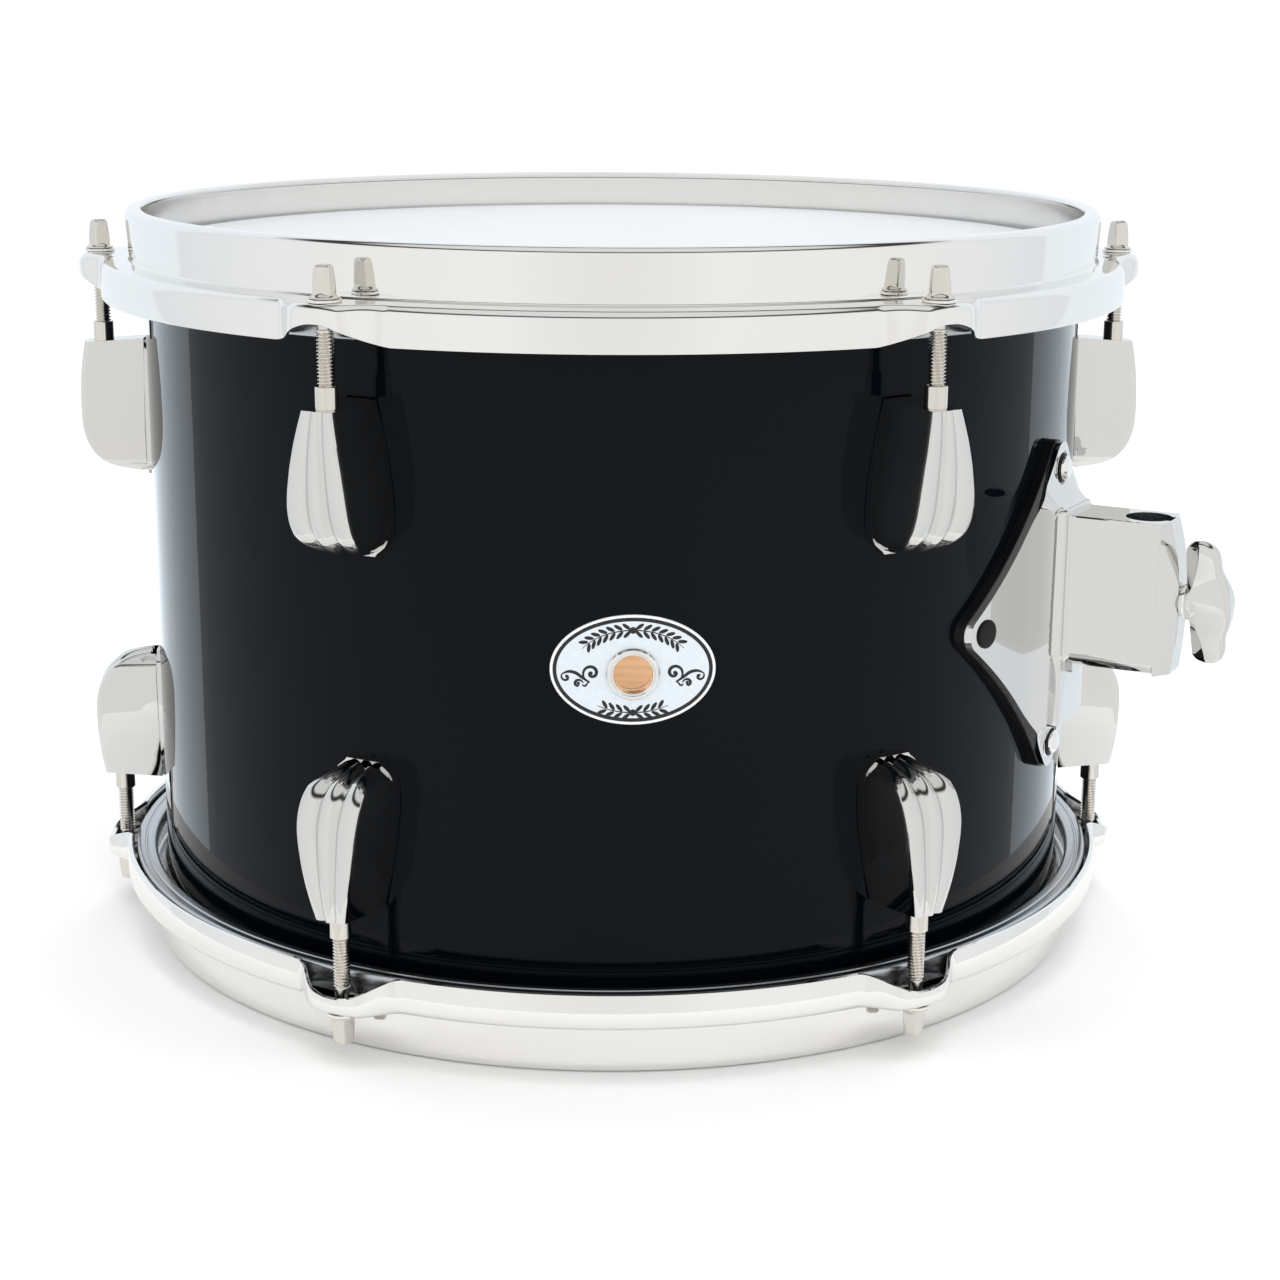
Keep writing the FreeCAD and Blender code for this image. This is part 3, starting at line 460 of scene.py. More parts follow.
def coated_film():
    """White polyester film with a fine sprayed coating that lets a soft light through."""
    made, tree, shader = material("coated_film", (0.9, 0.92, 0.94), IOR=1.4)
    place = stretched(tree)
    grit = noise(tree, place, 1500, detail=3, roughness=0.7)
    patch = noise(tree, place, 7, detail=4)
    tone = ramp(tree, patch, [(0.3, (0.73, 0.765, 0.795)), (0.7, (0.76, 0.795, 0.825))])
    paint(tree, shader, tone, levels(tree, patch, 0.5, 0.62))
    bump(tree, shader, grit, 0.25, 0.0002)
    through = node(tree, "BsdfTranslucent")
    tree.links.new(tone, through.inputs["Color"])
    blend = node(tree, "MixShader")
    blend.inputs[0].default_value = 0.32
    tree.links.new(shader.outputs[0], blend.inputs[1])
    tree.links.new(through.outputs[0], blend.inputs[2])
    tree.links.new(blend.outputs[0], tree.nodes["Material Output"].inputs["Surface"])
    return made


def clear_film():
    """Clear polyester film with a trace of haze."""
    made, tree, shader = material("clear_film", (0.93, 0.95, 0.95), IOR=1.35)
    shader.inputs["Transmission Weight"].default_value = 1.0
    haze = noise(tree, stretched(tree), 18, detail=5)
    tree.links.new(levels(tree, haze, 0.01, 0.05), shader.inputs["Roughness"])
    return made


def rubber():
    """Moulded black rubber with a fine grain and a few paler rubbed places."""
    made, tree, shader = material("black_rubber", (0.005, 0.005, 0.005), IOR=1.25)
    place = stretched(tree)
    grain = noise(tree, place, 700, detail=3)
    rub = noise(tree, place, 60, detail=4)
    tone = ramp(tree, rub, [(0.4, (0.003, 0.003, 0.0035)), (0.72, (0.007, 0.007, 0.0075))])
    paint(tree, shader, tone, levels(tree, rub, 0.24, 0.4))
    bump(tree, shader, grain, 0.2, 0.0002)
    return made


def satin_metal(name, colour, metallic, low, high, grain=300):
    """Plated or painted metal with a fine satin grain."""
    made, tree, shader = material(name, colour, Metallic=metallic)
    place = stretched(tree)
    fine = noise(tree, place, grain, detail=4)
    pale = tuple(min(1.0, c * 1.06) for c in colour)
    paint(tree, shader, ramp(tree, fine, [(0.35, colour), (0.65, pale)]), levels(tree, fine, low, high))
    bump(tree, shader, fine, 0.05, 0.0002)
    return made


NICKEL = nickel("bright_nickel")
SATIN_NICKEL = nickel("satin_nickel", colour=(0.83, 0.815, 0.795), low=0.12, high=0.2)
CAST_NICKEL = nickel("cast_nickel", colour=(0.7, 0.7, 0.69), low=0.02, high=0.05, ripple=0.02)
ROD_NICKEL = nickel("rod_nickel", colour=(0.72, 0.695, 0.65), low=0.05, high=0.11)
ALUMINIUM = brushed_aluminium()
LACQUER = lacquer()
MAPLE = maple()
COATED = coated_film()
CLEAR = clear_film()
RUBBER = rubber()
ZINC = satin_metal("zinc_plate", (0.6, 0.6, 0.6), 1.0, 0.25, 0.4)
BADGE_FIELD = satin_metal("badge_field", (0.66, 0.72, 0.77), 0.15, 0.32, 0.44, grain=900)
BADGE_RIM = satin_metal("badge_rim", (0.93, 0.94, 0.95), 0.35, 0.14, 0.22)
ENAMEL = satin_metal("black_enamel", (0.006, 0.006, 0.007), 0.0, 0.2, 0.3)

# ---------------------------------------------------------------- shell


VENT = 6.6  # radius of the vent hole


def build_shell():
    """Lacquered outside, maple inside and bearing edges, with a real vent hole through the wall."""
    inner = SHELL - WALL
    cut = 2.8
    edge = HALF_DEPTH
    profile = rounded(
        [
            (SHELL, -edge + cut, 1.2), (SHELL - cut, -edge, 0.3), (inner, -edge + WALL - cut, 0.8),
            (inner, edge - WALL + cut, 0.8), (SHELL - cut, edge, 0.3), (SHELL, edge - cut, 1.2),
        ],
        steps=4,
    )
    # extra levels so that the walls have even quads
    levels_up = spread(-edge + 8, edge - 8, 36)
    top = max(range(len(profile)), key=lambda i: (profile[i].x > SHELL - 0.01, profile[i].y))
    loop = profile[top + 1:] + profile[:top + 1]
    outer_run = [Vector((SHELL, z)) for z in reversed(levels_up)]
    split = next(i for i, p in enumerate(loop) if p.x < inner + 0.01 and p.y < 0 < loop[i + 1].y)
    inner_run = [Vector((inner, z)) for z in levels_up]
    loop = outer_run + loop[:split + 1] + inner_run + loop[split + 1:]
    shape = Shape()
    steps = 288
    rows = []
    for i in range(steps):
        a = 2 * math.pi * i / steps
        rows.append([Vector((p.x * math.sin(a), -p.x * math.cos(a), p.y)) for p in loop])
    shape.grid(rows, close_rows=True, close_columns=True)
    piece = make("shell_wood", shape, [LACQUER, MAPLE])
    cut_away(piece, [bar(VENT, 150, 170, OUTWARDS, steps=48)])
    for face in piece.data.polygons:
        spot = face.center / MM
        outside = math.hypot(spot.x, spot.y) > SHELL - 0.35 and abs(spot.z) < edge - 2.0
        clear_of_vent = math.hypot(spot.x, spot.z) > VENT + 0.3 or spot.y > 0
        face.material_index = 0 if outside and clear_of_vent else 1
    settle(piece, "drum_shell", ["shell"], middle_of_drum())


# ---------------------------------------------------------------- heads and hoops


def build_films():
    """Both heads: a flat film, its collar over the bearing edge and its lip in the flesh hoop."""
    thick = 0.25
    foot, face = heights("batter_head_film")
    grip = heights("batter_flesh_hoop")[0] + 4
    line = rounded(
        [
            (0, face - thick / 2), (SHELL - 2.5, face - thick / 2, 3.0), (SHELL + 0.42, face - 3.2, 2.0),
            (SHELL + 0.42, grip + 1.2, 1.4), (SHELL + 4.0, foot + thick / 2),
        ],
        closed=False,
    )
    flat = [Vector((r, face - thick / 2)) for r in spread(0, 150, 24)]
    line = flat + line[1:]
    profile = thickened(line, thick, cap=0)
    for end, surface, slot in (("batter", COATED, "coated_film"), ("resonant", CLEAR, "clear_film")):
        shape = Shape()
        shape.lathe(profile, steps=240, closed=False)
        piece = make(f"{end}_film", shape, [surface], sharp=60)
        settle(piece, f"{end}_rim", [f"{end}_head_film"], placed(end))


def thickened(line, thick, cap=4):
    """The closed section of sheet of a thickness along a line, with rounded ends."""
    count = len(line)
    normals = []
    for i in range(count):
        ahead = line[min(i + 1, count - 1)] - line[max(i - 1, 0)]
        normals.append(Vector((-ahead.y, ahead.x)).normalized())
    half = thick / 2
    one = [p + n * half for p, n in zip(line, normals)]
    other = [p - n * half for p, n in zip(line, normals)]

    def round_end(i, way):
        turns = [math.pi * k / cap for k in range(1, cap)] if cap else []
        along = Vector((normals[i].y, -normals[i].x)) * way
        side = normals[i] * way
        return [line[i] + side * math.cos(t) * half + along * math.sin(t) * half for t in turns]

    return one + round_end(count - 1, 1) + other[::-1] + round_end(0, -1)


def build_flesh_hoops():
    """Rolled aluminium channels that grip the films' lips."""
    low, high = heights("batter_flesh_hoop")
    inner, outer = SHELL + 3.9, box_mm("batter_flesh_hoop")[1].x
    profile = rounded(
        [
            (inner, low, 1.6), (inner + 3.3, low, 0.3), (inner + 3.6, low + 0.35, 0.2),
            (inner + 4.1, low + 0.35, 0.2), (inner + 4.4, low, 0.3), (outer, low, 1.8),
            (outer, high, 0.8), (inner + 1.2, high, 0.6), (inner, high - 1.4, 0.6),
        ]
    )
    for end in ENDS:
        shape = Shape()
        shape.lathe(profile, steps=240)
        piece = make(f"{end}_flesh_ring", shape, [ALUMINIUM], sharp=50)
        settle(piece, f"{end}_rim", [f"{end}_flesh_hoop"], placed(end))


def hoop_line(across):
    """The sheet's centre line at a distance along the hoop from the nearest rod."""
    bulge = 1 - ease(abs(across), 6.0, 19.5)
    lift = 1 - ease(abs(across), 1.0, 21.0)
    skirt = SHELL + 13.5 + 8.4 * bulge
    shoulder = WASHER_FOOT - 1
    return rounded(
        [
            (SHELL + 0.7, RIM - 1.0), (SHELL + 4.7, RIM - 1.0, 2.6),
            (SHELL + 3.7, shoulder + 0.3 * (1 - bulge), 2.0),
            (skirt, shoulder - 0.4 * (1 - bulge), 2.6), (skirt, RIM - 28.8 + 6.6 * lift),
        ],
        closed=False,
        steps=8,
    )


def build_hoops():
    """Flanged hoops with an inward lip and six pressed ears, drilled for the rods."""
    near = spread(0, 22, 34)
    far = spread(22, math.radians(30) * ROD_CIRCLE, 26)[1:-1]
    half = near + far
    sector = [-d for d in reversed(half[1:])] + half + [math.radians(30) * ROD_CIRCLE]
    rows = []
    for turn in STATIONS.values():
        for across in sector:
            angle = math.radians(turn) + across / ROD_CIRCLE
            section = thickened(hoop_line(across), SHEET)
            rows.append([Vector((p.x * math.sin(angle), -p.x * math.cos(angle), p.y)) for p in section])
    shape = Shape()
    shape.grid(rows, close_rows=True, close_columns=True)
    drill = Shape()
    for turn in STATIONS.values():
        place = Matrix.Rotation(math.radians(turn), 4, "Z") @ TO_ROD
        drill.lathe([(0, 104), (3.2, 104), (3.2, 113), (0, 113)], 32, closed=False, place=place)
    hoop = cut_away(make("batter_hoop_steel", shape, [NICKEL, SATIN_NICKEL]), [drill], sharp=40)
    for face in hoop.data.polygons:
        inward = -(face.normal.x * face.center.x + face.normal.y * face.center.y)
        if inward > 0.4 * math.hypot(face.center.x, face.center.y):
            face.material_index = 1  # the inside wall is satin
    for end, piece in (("batter", hoop), ("resonant", copy_of(hoop, "resonant_hoop_steel"))):
        settle(piece, f"{end}_rim", [f"{end}_hoop"], placed(end))


# ---------------------------------------------------------------- tension rods, washers, nuts


# how each rod's square head happens to stand, in degrees
HEAD_TURNS = dict(zip(STATIONS, (62, 20, 8, 33, 35, 14)))


def square_radius(angle, flat, corner):
    """Radius of a square's outline, with its corners cut at a radius."""
    return min(flat / max(abs(math.cos(angle)), abs(math.sin(angle))), corner)


THREAD_DEPTH = 0.62
NECK = 2.35  # radius of a rod between its thread and its flange


def rod_radius(angle, z):
    """Surface of a tension rod below its flange: the thread and the neck."""
    thread_end = WASHER_FOOT - 8.6
    if z < thread_end + 0.8:
        phase = (z / PITCH - angle / (2 * math.pi)) % 1
        crest = 1 - abs(2 * phase - 1)
        run_in = ease(z, ROD_FOOT + 0.4, ROD_FOOT + 1.6)
        run_out = 1 - ease(z, thread_end - 0.6, thread_end + 0.6)
        return 2.72 - THREAD_DEPTH * run_in * run_out * (1 - ease(crest, 0.05, 0.8))
    return NECK


def build_rods():
    """Twelve tension rods with real threads, a round flange and a square head."""
    seat = WASHER_FOOT + WASHER
    thread_top = WASHER_FOOT - 7.8
    steps = 36
    angles = [2 * math.pi * i / steps for i in range(steps)]
    rows = [[Vector((0, 0, ROD_FOOT))] * steps]
    rings = round((thread_top - ROD_FOOT) / PITCH * 7)  # seven to each turn of the thread
    for z in [ROD_FOOT + 0.01] + spread(ROD_FOOT + 0.5, thread_top, rings):
        taper = 1 - 0.35 * (1 - ease(z, ROD_FOOT, ROD_FOOT + 1.2))
        rows.append([ring_point(a, rod_radius(a, z) * taper, z) for a in angles])
    for r, z in ((NECK, seat - 2), (NECK, seat + 0.02), (4.3, seat + 0.02), (4.75, seat + 0.2)):
        rows.append([ring_point(a, r, z) for a in angles])
    flange_top = seat + 1.15
    head = ROD_TOP - 0.05
    for i in range(9):
        t = i / 8
        dome = 4.75 - 2.05 * math.sin(t * math.pi / 2) ** 1.3
        z = seat + 0.55 + (flange_top + 2.0 - seat - 0.55) * (1 - math.cos(t * math.pi / 2))
        flat = 2.9 if z > flange_top - 0.2 else 0
        rows.append([ring_point(a, max(dome, square_radius(a, flat, 3.72)), z) for a in angles])
    for z, flat, corner in (
        (head - 4.4, 2.8, 3.52), (head - 2.6, 2.68, 3.3), (head - 1.2, 2.55, 3.08), (head - 0.6, 2.4, 2.85),
        (head - 0.25, 2.15, 2.5), (head - 0.05, 1.75, 2.0), (head + 0.03, 1.1, 1.2), (head + 0.05, 0, 0),
    ):
        rows.append([ring_point(a, square_radius(a, flat, corner), z) for a in angles])
    shape = Shape()
    shape.grid(rows, close_columns=True)
    first = None
    for end in ENDS:
        for name, turn in STATIONS.items():
            label = f"{end}_rod_{name}"
            steel = f"{label}_steel"
            rod = copy_of(first, steel) if first else make(steel, shape, [ROD_NICKEL], 32)
            first = first or rod
            spin = Matrix.Rotation(math.radians(HEAD_TURNS[name]), 4, "Z")
            settle(rod, label, [f"{end}_tension_rod_{name}"], placed(end, turn) @ TO_ROD @ spin)


def ring_point(angle, radius, z):
    """A point at an angle and radius round Z."""
    return Vector((radius * math.cos(angle), radius * math.sin(angle), z))


def build_small_rounds():
    """Rod washers and swivel nuts, one piece of six for each end."""
    top = WASHER_FOOT + WASHER
    washer = [(3.0, WASHER_FOOT, 0.2), (5.2, WASHER_FOOT, 0.35), (5.2, top, 0.35), (3.0, top, 0.2)]
    washer = rounded(washer, steps=3)
    nut_foot, nut_top = heights("batter_swivel_nuts")
    nut = rounded(
        [
            (2.76, nut_foot), (3.5, nut_foot), (3.5, nut_top - 0.05, 0.45), (2.95, nut_top, 0.1),
            (2.76, nut_top - 0.25),
        ],
        steps=4,
    )
    for end in ENDS:
        washers = Shape()
        nuts = Shape()
        for turn in STATIONS.values():
            place = Matrix.Rotation(math.radians(turn), 4, "Z") @ TO_ROD
            washers.lathe(washer, 48, place=place)
            nuts.lathe(nut, 40, place=place)
        piece = make(f"{end}_washers", washers, [NICKEL])
        settle(piece, f"{end}_rim", [f"{end}_rod_washers"], placed(end))
        piece = make(f"{end}_nuts", nuts, [ROD_NICKEL])
        settle(piece, "drum_shell", [f"{end}_swivel_nuts"], placed(end))


# ---------------------------------------------------------------- lugs


def rib_height(s, depth):
    """Height of the lug's face across its width: three rounded ribs with sharp valleys between."""
    s = abs(s)
    valley = 0.35
    if s < valley:
        return -1.5 * depth * (s / valley) ** 2.0
    crest = valley + 0.36
    if s < crest:
        return -0.55 - (1.5 * depth - 0.55) * ((crest - s) / (crest - valley)) ** 1.8
    return -0.55 - 0.6 * ((s - crest) / (1 - crest)) ** 2.2


def build_lugs():
    """Cast lug casings: a ribbed face that wraps over the far end, plain sides and a foot."""
    out = box_mm("batter_lug_right")[1].x - 0.05
    rod_end = heights("batter_lug_right")[1] - 2.3
    # how far down from the rod's end, and how far in from the outermost point
    course = [
        (0, 1.7), (5, 0.9), (11, 0.25), (17, 0), (23, 0), (27.5, 0.2), (31.5, 0.8), (35.2, 2.0), (38.6, 3.9),
        (41.2, 6.2), (43.3, 9.2), (44.8, 12.8), (45.7, 16.6), (46.3, 20.6),
    ]
    path = curve_through([(rod_end - down, out - sunk) for down, sunk in course], steps=5)
    # how far down from the rod's end, and the half width there
    plan = [
        (46.3, 6.1), (45.6, 6.6), (44.6, 7.9), (43.4, 9.3), (41.8, 10.2), (38.5, 10.6), (34, 10.65),
        (29, 10.45), (24, 9.95), (17, 8.9), (9, 7.35), (0, 5.3),
    ]
    widths = [(rod_end - down, half) for down, half in plan]
    base = SHELL + 1.9
    shares = [math.sin(math.radians(a)) for a in spread(-90, 90, 60)]
    rows = []
    for i, (z, d) in enumerate(path):
        ahead = path[min(i + 1, len(path) - 1)] - path[max(i - 1, 0)]
        normal = Vector((ahead.y, -ahead.x)).normalized()
        half = between(widths, z)
        depth = 0.75 + 0.35 * (1 - ease(z, rod_end - 36, rod_end))
        slant = 1.6 * ease(z, rod_end - 10, rod_end)
        roof = []
        for s in shares:
            spot = Vector((z, d)) + normal * rib_height(s, depth)
            roof.append((half * s, max(spot.y, base), spot.x))
        edge = roof[-1]
        side = []
        for t in (0.02, 0.1, 0.35, 0.65, 0.93):
            side.append((half + 0.1 + 0.4 * t, edge[1] + (base + 0.7 - edge[1]) * t, edge[2]))
        side.append((half + 0.38, base, edge[2]))
        row = [(-x, dd, zz) for x, dd, zz in reversed(side)] + roof + side
        rows.append([Vector((x, -dd, zz + slant * (out - dd) / (out - base))) for x, dd, zz in row])
    shape = Shape()
    first = shape.grid(rows)
    shape.face(range(first, first + len(rows[0])))
    casing = make("batter_lug_casing", shape, [CAST_NICKEL], sharp=42)
    foot = Shape()
    grow = 0.2
    foot_end = rod_end - 46.6
    near, far = plan[-1][1] + grow, plan[0][1] + grow
    half_outline = [(0, rod_end + 0.9), (near - 0.3, rod_end + 0.9), (near, rod_end + 0.4)]
    half_outline += [(half + grow, z) for z, half in reversed(widths[1:-1])]
    half_outline += [(far, foot_end + 0.3), (far - 0.3, foot_end), (0, foot_end)]
    slab(foot, half_outline, SHELL + 0.05, lambda x, z: SHELL + 2.1, across=8)
    foot_piece = bevel(make("batter_lug_foot", foot, [CAST_NICKEL], sharp=40), 0.3)
    bevel(casing, 0.22, segments=2)
    for drawn, kind in ((casing, "casing"), (foot_piece, "foot")):
        first = True
        for end in ENDS:
            for name, turn in STATIONS.items():
                label = f"{end}_lug_{name}"
                piece = drawn if first else copy_of(drawn, kind)
                first = False
                piece.name = f"{label}_{kind}"
                settle(piece, "drum_shell", [label], placed(end, turn))


def slab(shape, half_outline, inner, height, across):
    """A slab laid on the drum, mirrored about its upright, with a face at height(x, z)."""
    shares = spread(-1, 1, across)
    face = []
    back = []
    for x, z in half_outline:
        face.append([wrap(x * s, z, height(x * s, z)) for s in shares])
        back.append([wrap(x * s, z, inner) for s in shares])
    shape.grid(face)
    shape.grid(back)
    rim = [[row[-1] for row in rows] + [row[0] for row in reversed(rows)] for rows in (face, back)]
    shape.grid(rim, close_columns=True)


# ---------------------------------------------------------------- badge and vent


BADGE_RISE = sum(heights("badge_plate")) / 2  # vent up to the badge's centre


def oval(scale_x, scale_z, steps=96):
    """The right half of an oval, from its top to its foot, about the badge's centre."""
    turns = spread(0, math.pi, steps)
    return [Vector((scale_x * math.sin(t), scale_z * math.cos(t) + BADGE_RISE)) for t in turns]


def band(shape, outer, inner, low, high, steps=160):
    """A raised band between two ovals, each (half width, half height), with rounded shoulders."""
    rows = []
    for i in range(steps):
        t = 2 * math.pi * i / steps
        edge = Vector((outer[0] * math.sin(t), outer[1] * math.cos(t)))
        core = Vector((inner[0] * math.sin(t), inner[1] * math.cos(t)))
        lift = high - low
        row = []
        for share, rise in ((0, 0), (0, 0.6), (0.12, 0.9), (0.3, 1), (0.7, 1), (0.88, 0.9), (1, 0.6), (1, 0)):
            spot = edge.lerp(core, share)
            row.append(wrap(spot.x, spot.y + BADGE_RISE, low + lift * rise))
        rows.append(row)
    shape.grid(rows, close_rows=True, close_columns=True)


def ribbon(shape, line, width, low, high):
    """A raised stroke along a line of (x, z) points; width(t) is its half width, with t from 0 to 1."""
    rows = []
    count = len(line)
    edge = high - 0.02
    section = ((1, low), (1, edge), (0.8, high), (-0.8, high), (-1, edge), (-1, low))
    for i, spot in enumerate(line):
        ahead = line[min(i + 1, count - 1)] - line[max(i - 1, 0)]
        side = Vector((-ahead.y, ahead.x)).normalized() * width(i / (count - 1))
        row = []
        for share, radius in section:
            at = spot + side * share
            row.append(wrap(at.x, at.y + BADGE_RISE, radius))
        rows.append(row)
    shape.tube(rows)


def spiral(centre, start, end, first, last, steps=36):
    """Points of a spiral about a centre, from one radius and angle in degrees to another."""
    points = []
    for t in spread(0, 1, steps):
        angle = math.radians(first + (last - first) * t)
        radius = start + (end - start) * t ** 0.85
        points.append(Vector((centre[0] + radius * math.cos(angle), centre[1] + radius * math.sin(angle))))
    return points


def flourish(shape, side, low, high):
    """Scrolls at one side of the vent: a large curl, a long tail with a hook, and two small curls."""
    thin = 0.14

    def stroke(points, thick):
        flipped = [Vector((p.x * side, p.y)) for p in points]
        ribbon(shape, flipped, lambda t: thin + (thick - thin) * math.sin(math.pi * t) ** 0.8, low, high)

    stroke(spiral((12.5, -1.0), 3.0, 0.5, -80, 400), 0.5)
    tail = curve_through([(12.9, -3.9), (15.0, -2.6), (17.2, -1.0), (19.4, -0.6), (21.2, -1.3)], 8)
    stroke(tail, 0.5)
    stroke(spiral((20.2, -2.3), 1.5, 0.45, 50, -270), 0.36)
    stroke(spiral((16.5, -4.4), 1.6, 0.45, 170, -130), 0.42)
    stroke(curve_through([(13.4, -3.8), (14.4, -5.0), (15.3, -4.6)], 6), 0.3)
    for centre, size in (((12.7, -1.05), 0.62), ((19.9, -2.15), 0.5), ((16.4, -4.2), 0.52)):
        dot(shape, (centre[0] * side, centre[1]), size, low, high)


def dot(shape, centre, size, low, high, stretch=1.0, turn=0.0):
    """A raised round or oval dot."""
    loops = []
    for scale, radius in ((1, low), (1, high - 0.02), (0.8, high)):
        loop = []
        for i in range(16):
            t = 2 * math.pi * i / 16
            a, b = size * stretch * scale * math.cos(t), size * scale * math.sin(t)
            x = centre[0] + a * math.cos(turn) - b * math.sin(turn)
            z = centre[1] + a * math.sin(turn) + b * math.cos(turn)
            loop.append(wrap(x, z + BADGE_RISE, radius))
        loops.append(loop)
    shape.tube(loops)


def build_badge():
    """Oval badge with a bright rim, a black line, leaf garlands and scrolls, and its grommet."""
    low, high = box_mm("badge_plate")
    wide, tall = (high.x - low.x) / 2, (high.z - low.z) / 2
    back, face = SHELL + 0.03, SHELL + 0.55
    plate = Shape()
    slab(plate, oval(wide, tall), back, lambda x, z: face, across=40)
    hole = bar(VENT + 0.3, 155, 170, OUTWARDS)
    piece = cut_away(make("badge_field", plate, [BADGE_FIELD]), [hole])
    settle(piece, "drum_shell", ["badge_plate"], middle_of_drum())
    rim = Shape()
    band(rim, (wide, tall), (wide - 0.85, tall - 0.85), back, face + 0.22)
    piece = make("badge_rim", rim, [BADGE_RIM], sharp=50)
    settle(piece, "drum_shell", ["badge_plate"], middle_of_drum())

    ink = Shape()
    foot, top = face - 0.05, face + 0.06
    band(ink, (wide - 0.86, tall - 0.86), (wide - 2.0, tall - 2.0), foot, top)
    for side in (1, -1):
        flourish(ink, side, foot, top)

    def on_arc(angle, reach):
        return Vector((wide * reach * math.cos(angle), tall * reach * math.sin(angle)))

    # a garland above and one below: pairs of leaves, half the arc in degrees, share of the badge's size
    for upper, count, arc, reach in ((1, 7, 58, 0.72), (-1, 4, 33, 0.78)):
        centre, half_arc = math.radians(90 * upper), math.radians(arc)
        stem = [on_arc(a, reach) for a in spread(centre - half_arc, centre + half_arc, 40)]
        ribbon(ink, stem, lambda t: 0.08 + 0.1 * math.sin(math.pi * t), foot, top)
        for i in range(-count, count + 1):
            angle = centre + half_arc * i / (count + 0.6)
            along = Vector((-wide * math.sin(angle), tall * math.cos(angle))).normalized()
            spot = on_arc(angle, reach)
            across = Vector((along.y, -along.x))
            if i == 0:
                dot(ink, spot, 1.05, foot, top)
                continue
            lean = -1 if i > 0 else 1
            for way in (1, -1):
                leaf = spot + across * way * 1.2 + along * lean * 0.5
                turn = math.atan2(along.y, along.x) + way * lean * 0.7
                dot(ink, leaf, 0.56, foot, top, stretch=2.6, turn=turn)
    piece = make("badge_ornament", ink, [ENAMEL], sharp=50)
    settle(piece, "drum_shell", ["badge_plate"], middle_of_drum())

    ring = Shape()
    flare = rounded(
        [
            (5.85, -2.2), (6.45, -2.2), (6.5, 0.5), (8.1, 0.52, 0.1), (8.15, 0.95, 0.3), (7.5, 1.75, 0.5),
            (6.75, 1.8, 0.3), (6.5, 1.45, 0.25), (6.1, 1.5, 0.3), (5.85, 1.1, 0.2),
        ]
    )
    flare = [(r, z + SHELL) for r, z in flare]
    ring.lathe(flare, steps=96, place=Matrix.Rotation(math.pi / 2, 4, "X"))
    piece = make("vent_eyelet", ring, [NICKEL], sharp=50)
    settle(piece, "drum_shell", ["vent_grommet"], middle_of_drum())


# ---------------------------------------------------------------- tom mount

plate_foot, plate_top = heights("mount_bracket")
PLATE_HALF = (plate_top - plate_foot) / 2
PLATE_LEVEL = (plate_top + plate_foot) / 2
PLATE_BACK = SHELL + 3.0
PLATE_FACE = PLATE_BACK + 2.15
FIXING = 46.8  # plate centre to its upright fixings
BLOCK_TOP = 34.9
BLOCK_FOOT = -15.5
BLOCK_HALF = 10.9
PAD_HALF = 12.3
PAD_TOP = 36.6
PAD_FOOT = -37.0
PAD_REACH = 175.2
NOSE = 211.4  # drum axis to the middle of the block's bowed end
CAP_REACH = 212.5
WING_LEVEL = 8.5


def diamond_half(grow):
    """Right half of the mount plate's outline, grown all round: round tips and slightly hollow sides."""
    reach = PLATE_HALF + grow
    tip = 6.2 + grow
    corner = []
    lean = math.radians(52)
    for quarter in (0, 1, 2):
        out = Vector((math.sin(quarter * math.pi / 2), math.cos(quarter * math.pi / 2)))
        side = Vector((out.y, -out.x))
        first = 0 if quarter == 0 else -lean
        last = 0 if quarter == 2 else lean
        for a in spread(first, last, 12):
            corner.append(out * (reach - tip + tip * math.cos(a)) + side * tip * math.sin(a))
    points = []
    for here, after in zip(corner, corner[1:]):
        points.append(here)
        if (after - here).length > 20:
            hollow = 3.6
            mid = (here + after) / 2
            mid -= mid.normalized() * hollow
            for t in spread(0, 1, 36)[1:-1]:
                points.append(here * (1 - t) ** 2 + mid * 2 * t * (1 - t) + after * t * t)
    points.append(corner[-1])
    return [Vector((max(p.x, 0) * 0.988, p.y + PLATE_LEVEL)) for p in points]


def plate_height(x, z):
    """Face of the mount plate: thin at its edge and flaring up to the pad under the block."""
    beside_pad = max(abs(x) - PAD_HALF + 0.3, 0)
    above = max(z - PAD_TOP + 0.6, 0)
    below = max(PAD_FOOT - z, 0)
    beyond = above + below
    distance = math.hypot(beside_pad, beyond)
    upright = beyond * beyond / (distance * distance) if distance > 0 else 0
    rise = 3.9 + upright * (2.4 if above else -1.6)
    reach = 14 - (4.5 if above else 2.0) * upright
    return PLATE_FACE + rise * max(0.0, 1 - distance / reach) ** 2.2


def block_outline(share, side_inset, nose_inset):
    """The receiver block's plan at a height share from -1 to 1: its bowed end has a facet at each side."""
    half = BLOCK_HALF - side_inset
    drop = (4.0 if share > 0 else 1.5) * share * share
    right = [
        Vector((half + 1.9, PAD_REACH - 0.6)), Vector((half + 1.7, PAD_REACH - 0.05)),
        Vector((half + 0.9, PAD_REACH + 0.3)), Vector((half + 0.35, PAD_REACH + 0.85)),
        Vector((half + 0.08, PAD_REACH + 1.6)), Vector((half, PAD_REACH + 2.6)),
    ]
    right += [Vector((half, r)) for r in spread(PAD_REACH + 8, 205.2, 3)]
    wide = BLOCK_HALF - nose_inset
    crest = NOSE - drop - nose_inset
    right += [Vector((wide - 0.01, 205.45)), Vector((wide - 0.1, 205.7)), Vector((wide - 0.32, 205.95))]
    right += [Vector((5.45, crest - 0.25)), Vector((5.05, crest - 0.02)), Vector((0, crest))]
    left = [Vector((-p.x, p.y)) for p in reversed(right[:-1])]
    return right + left


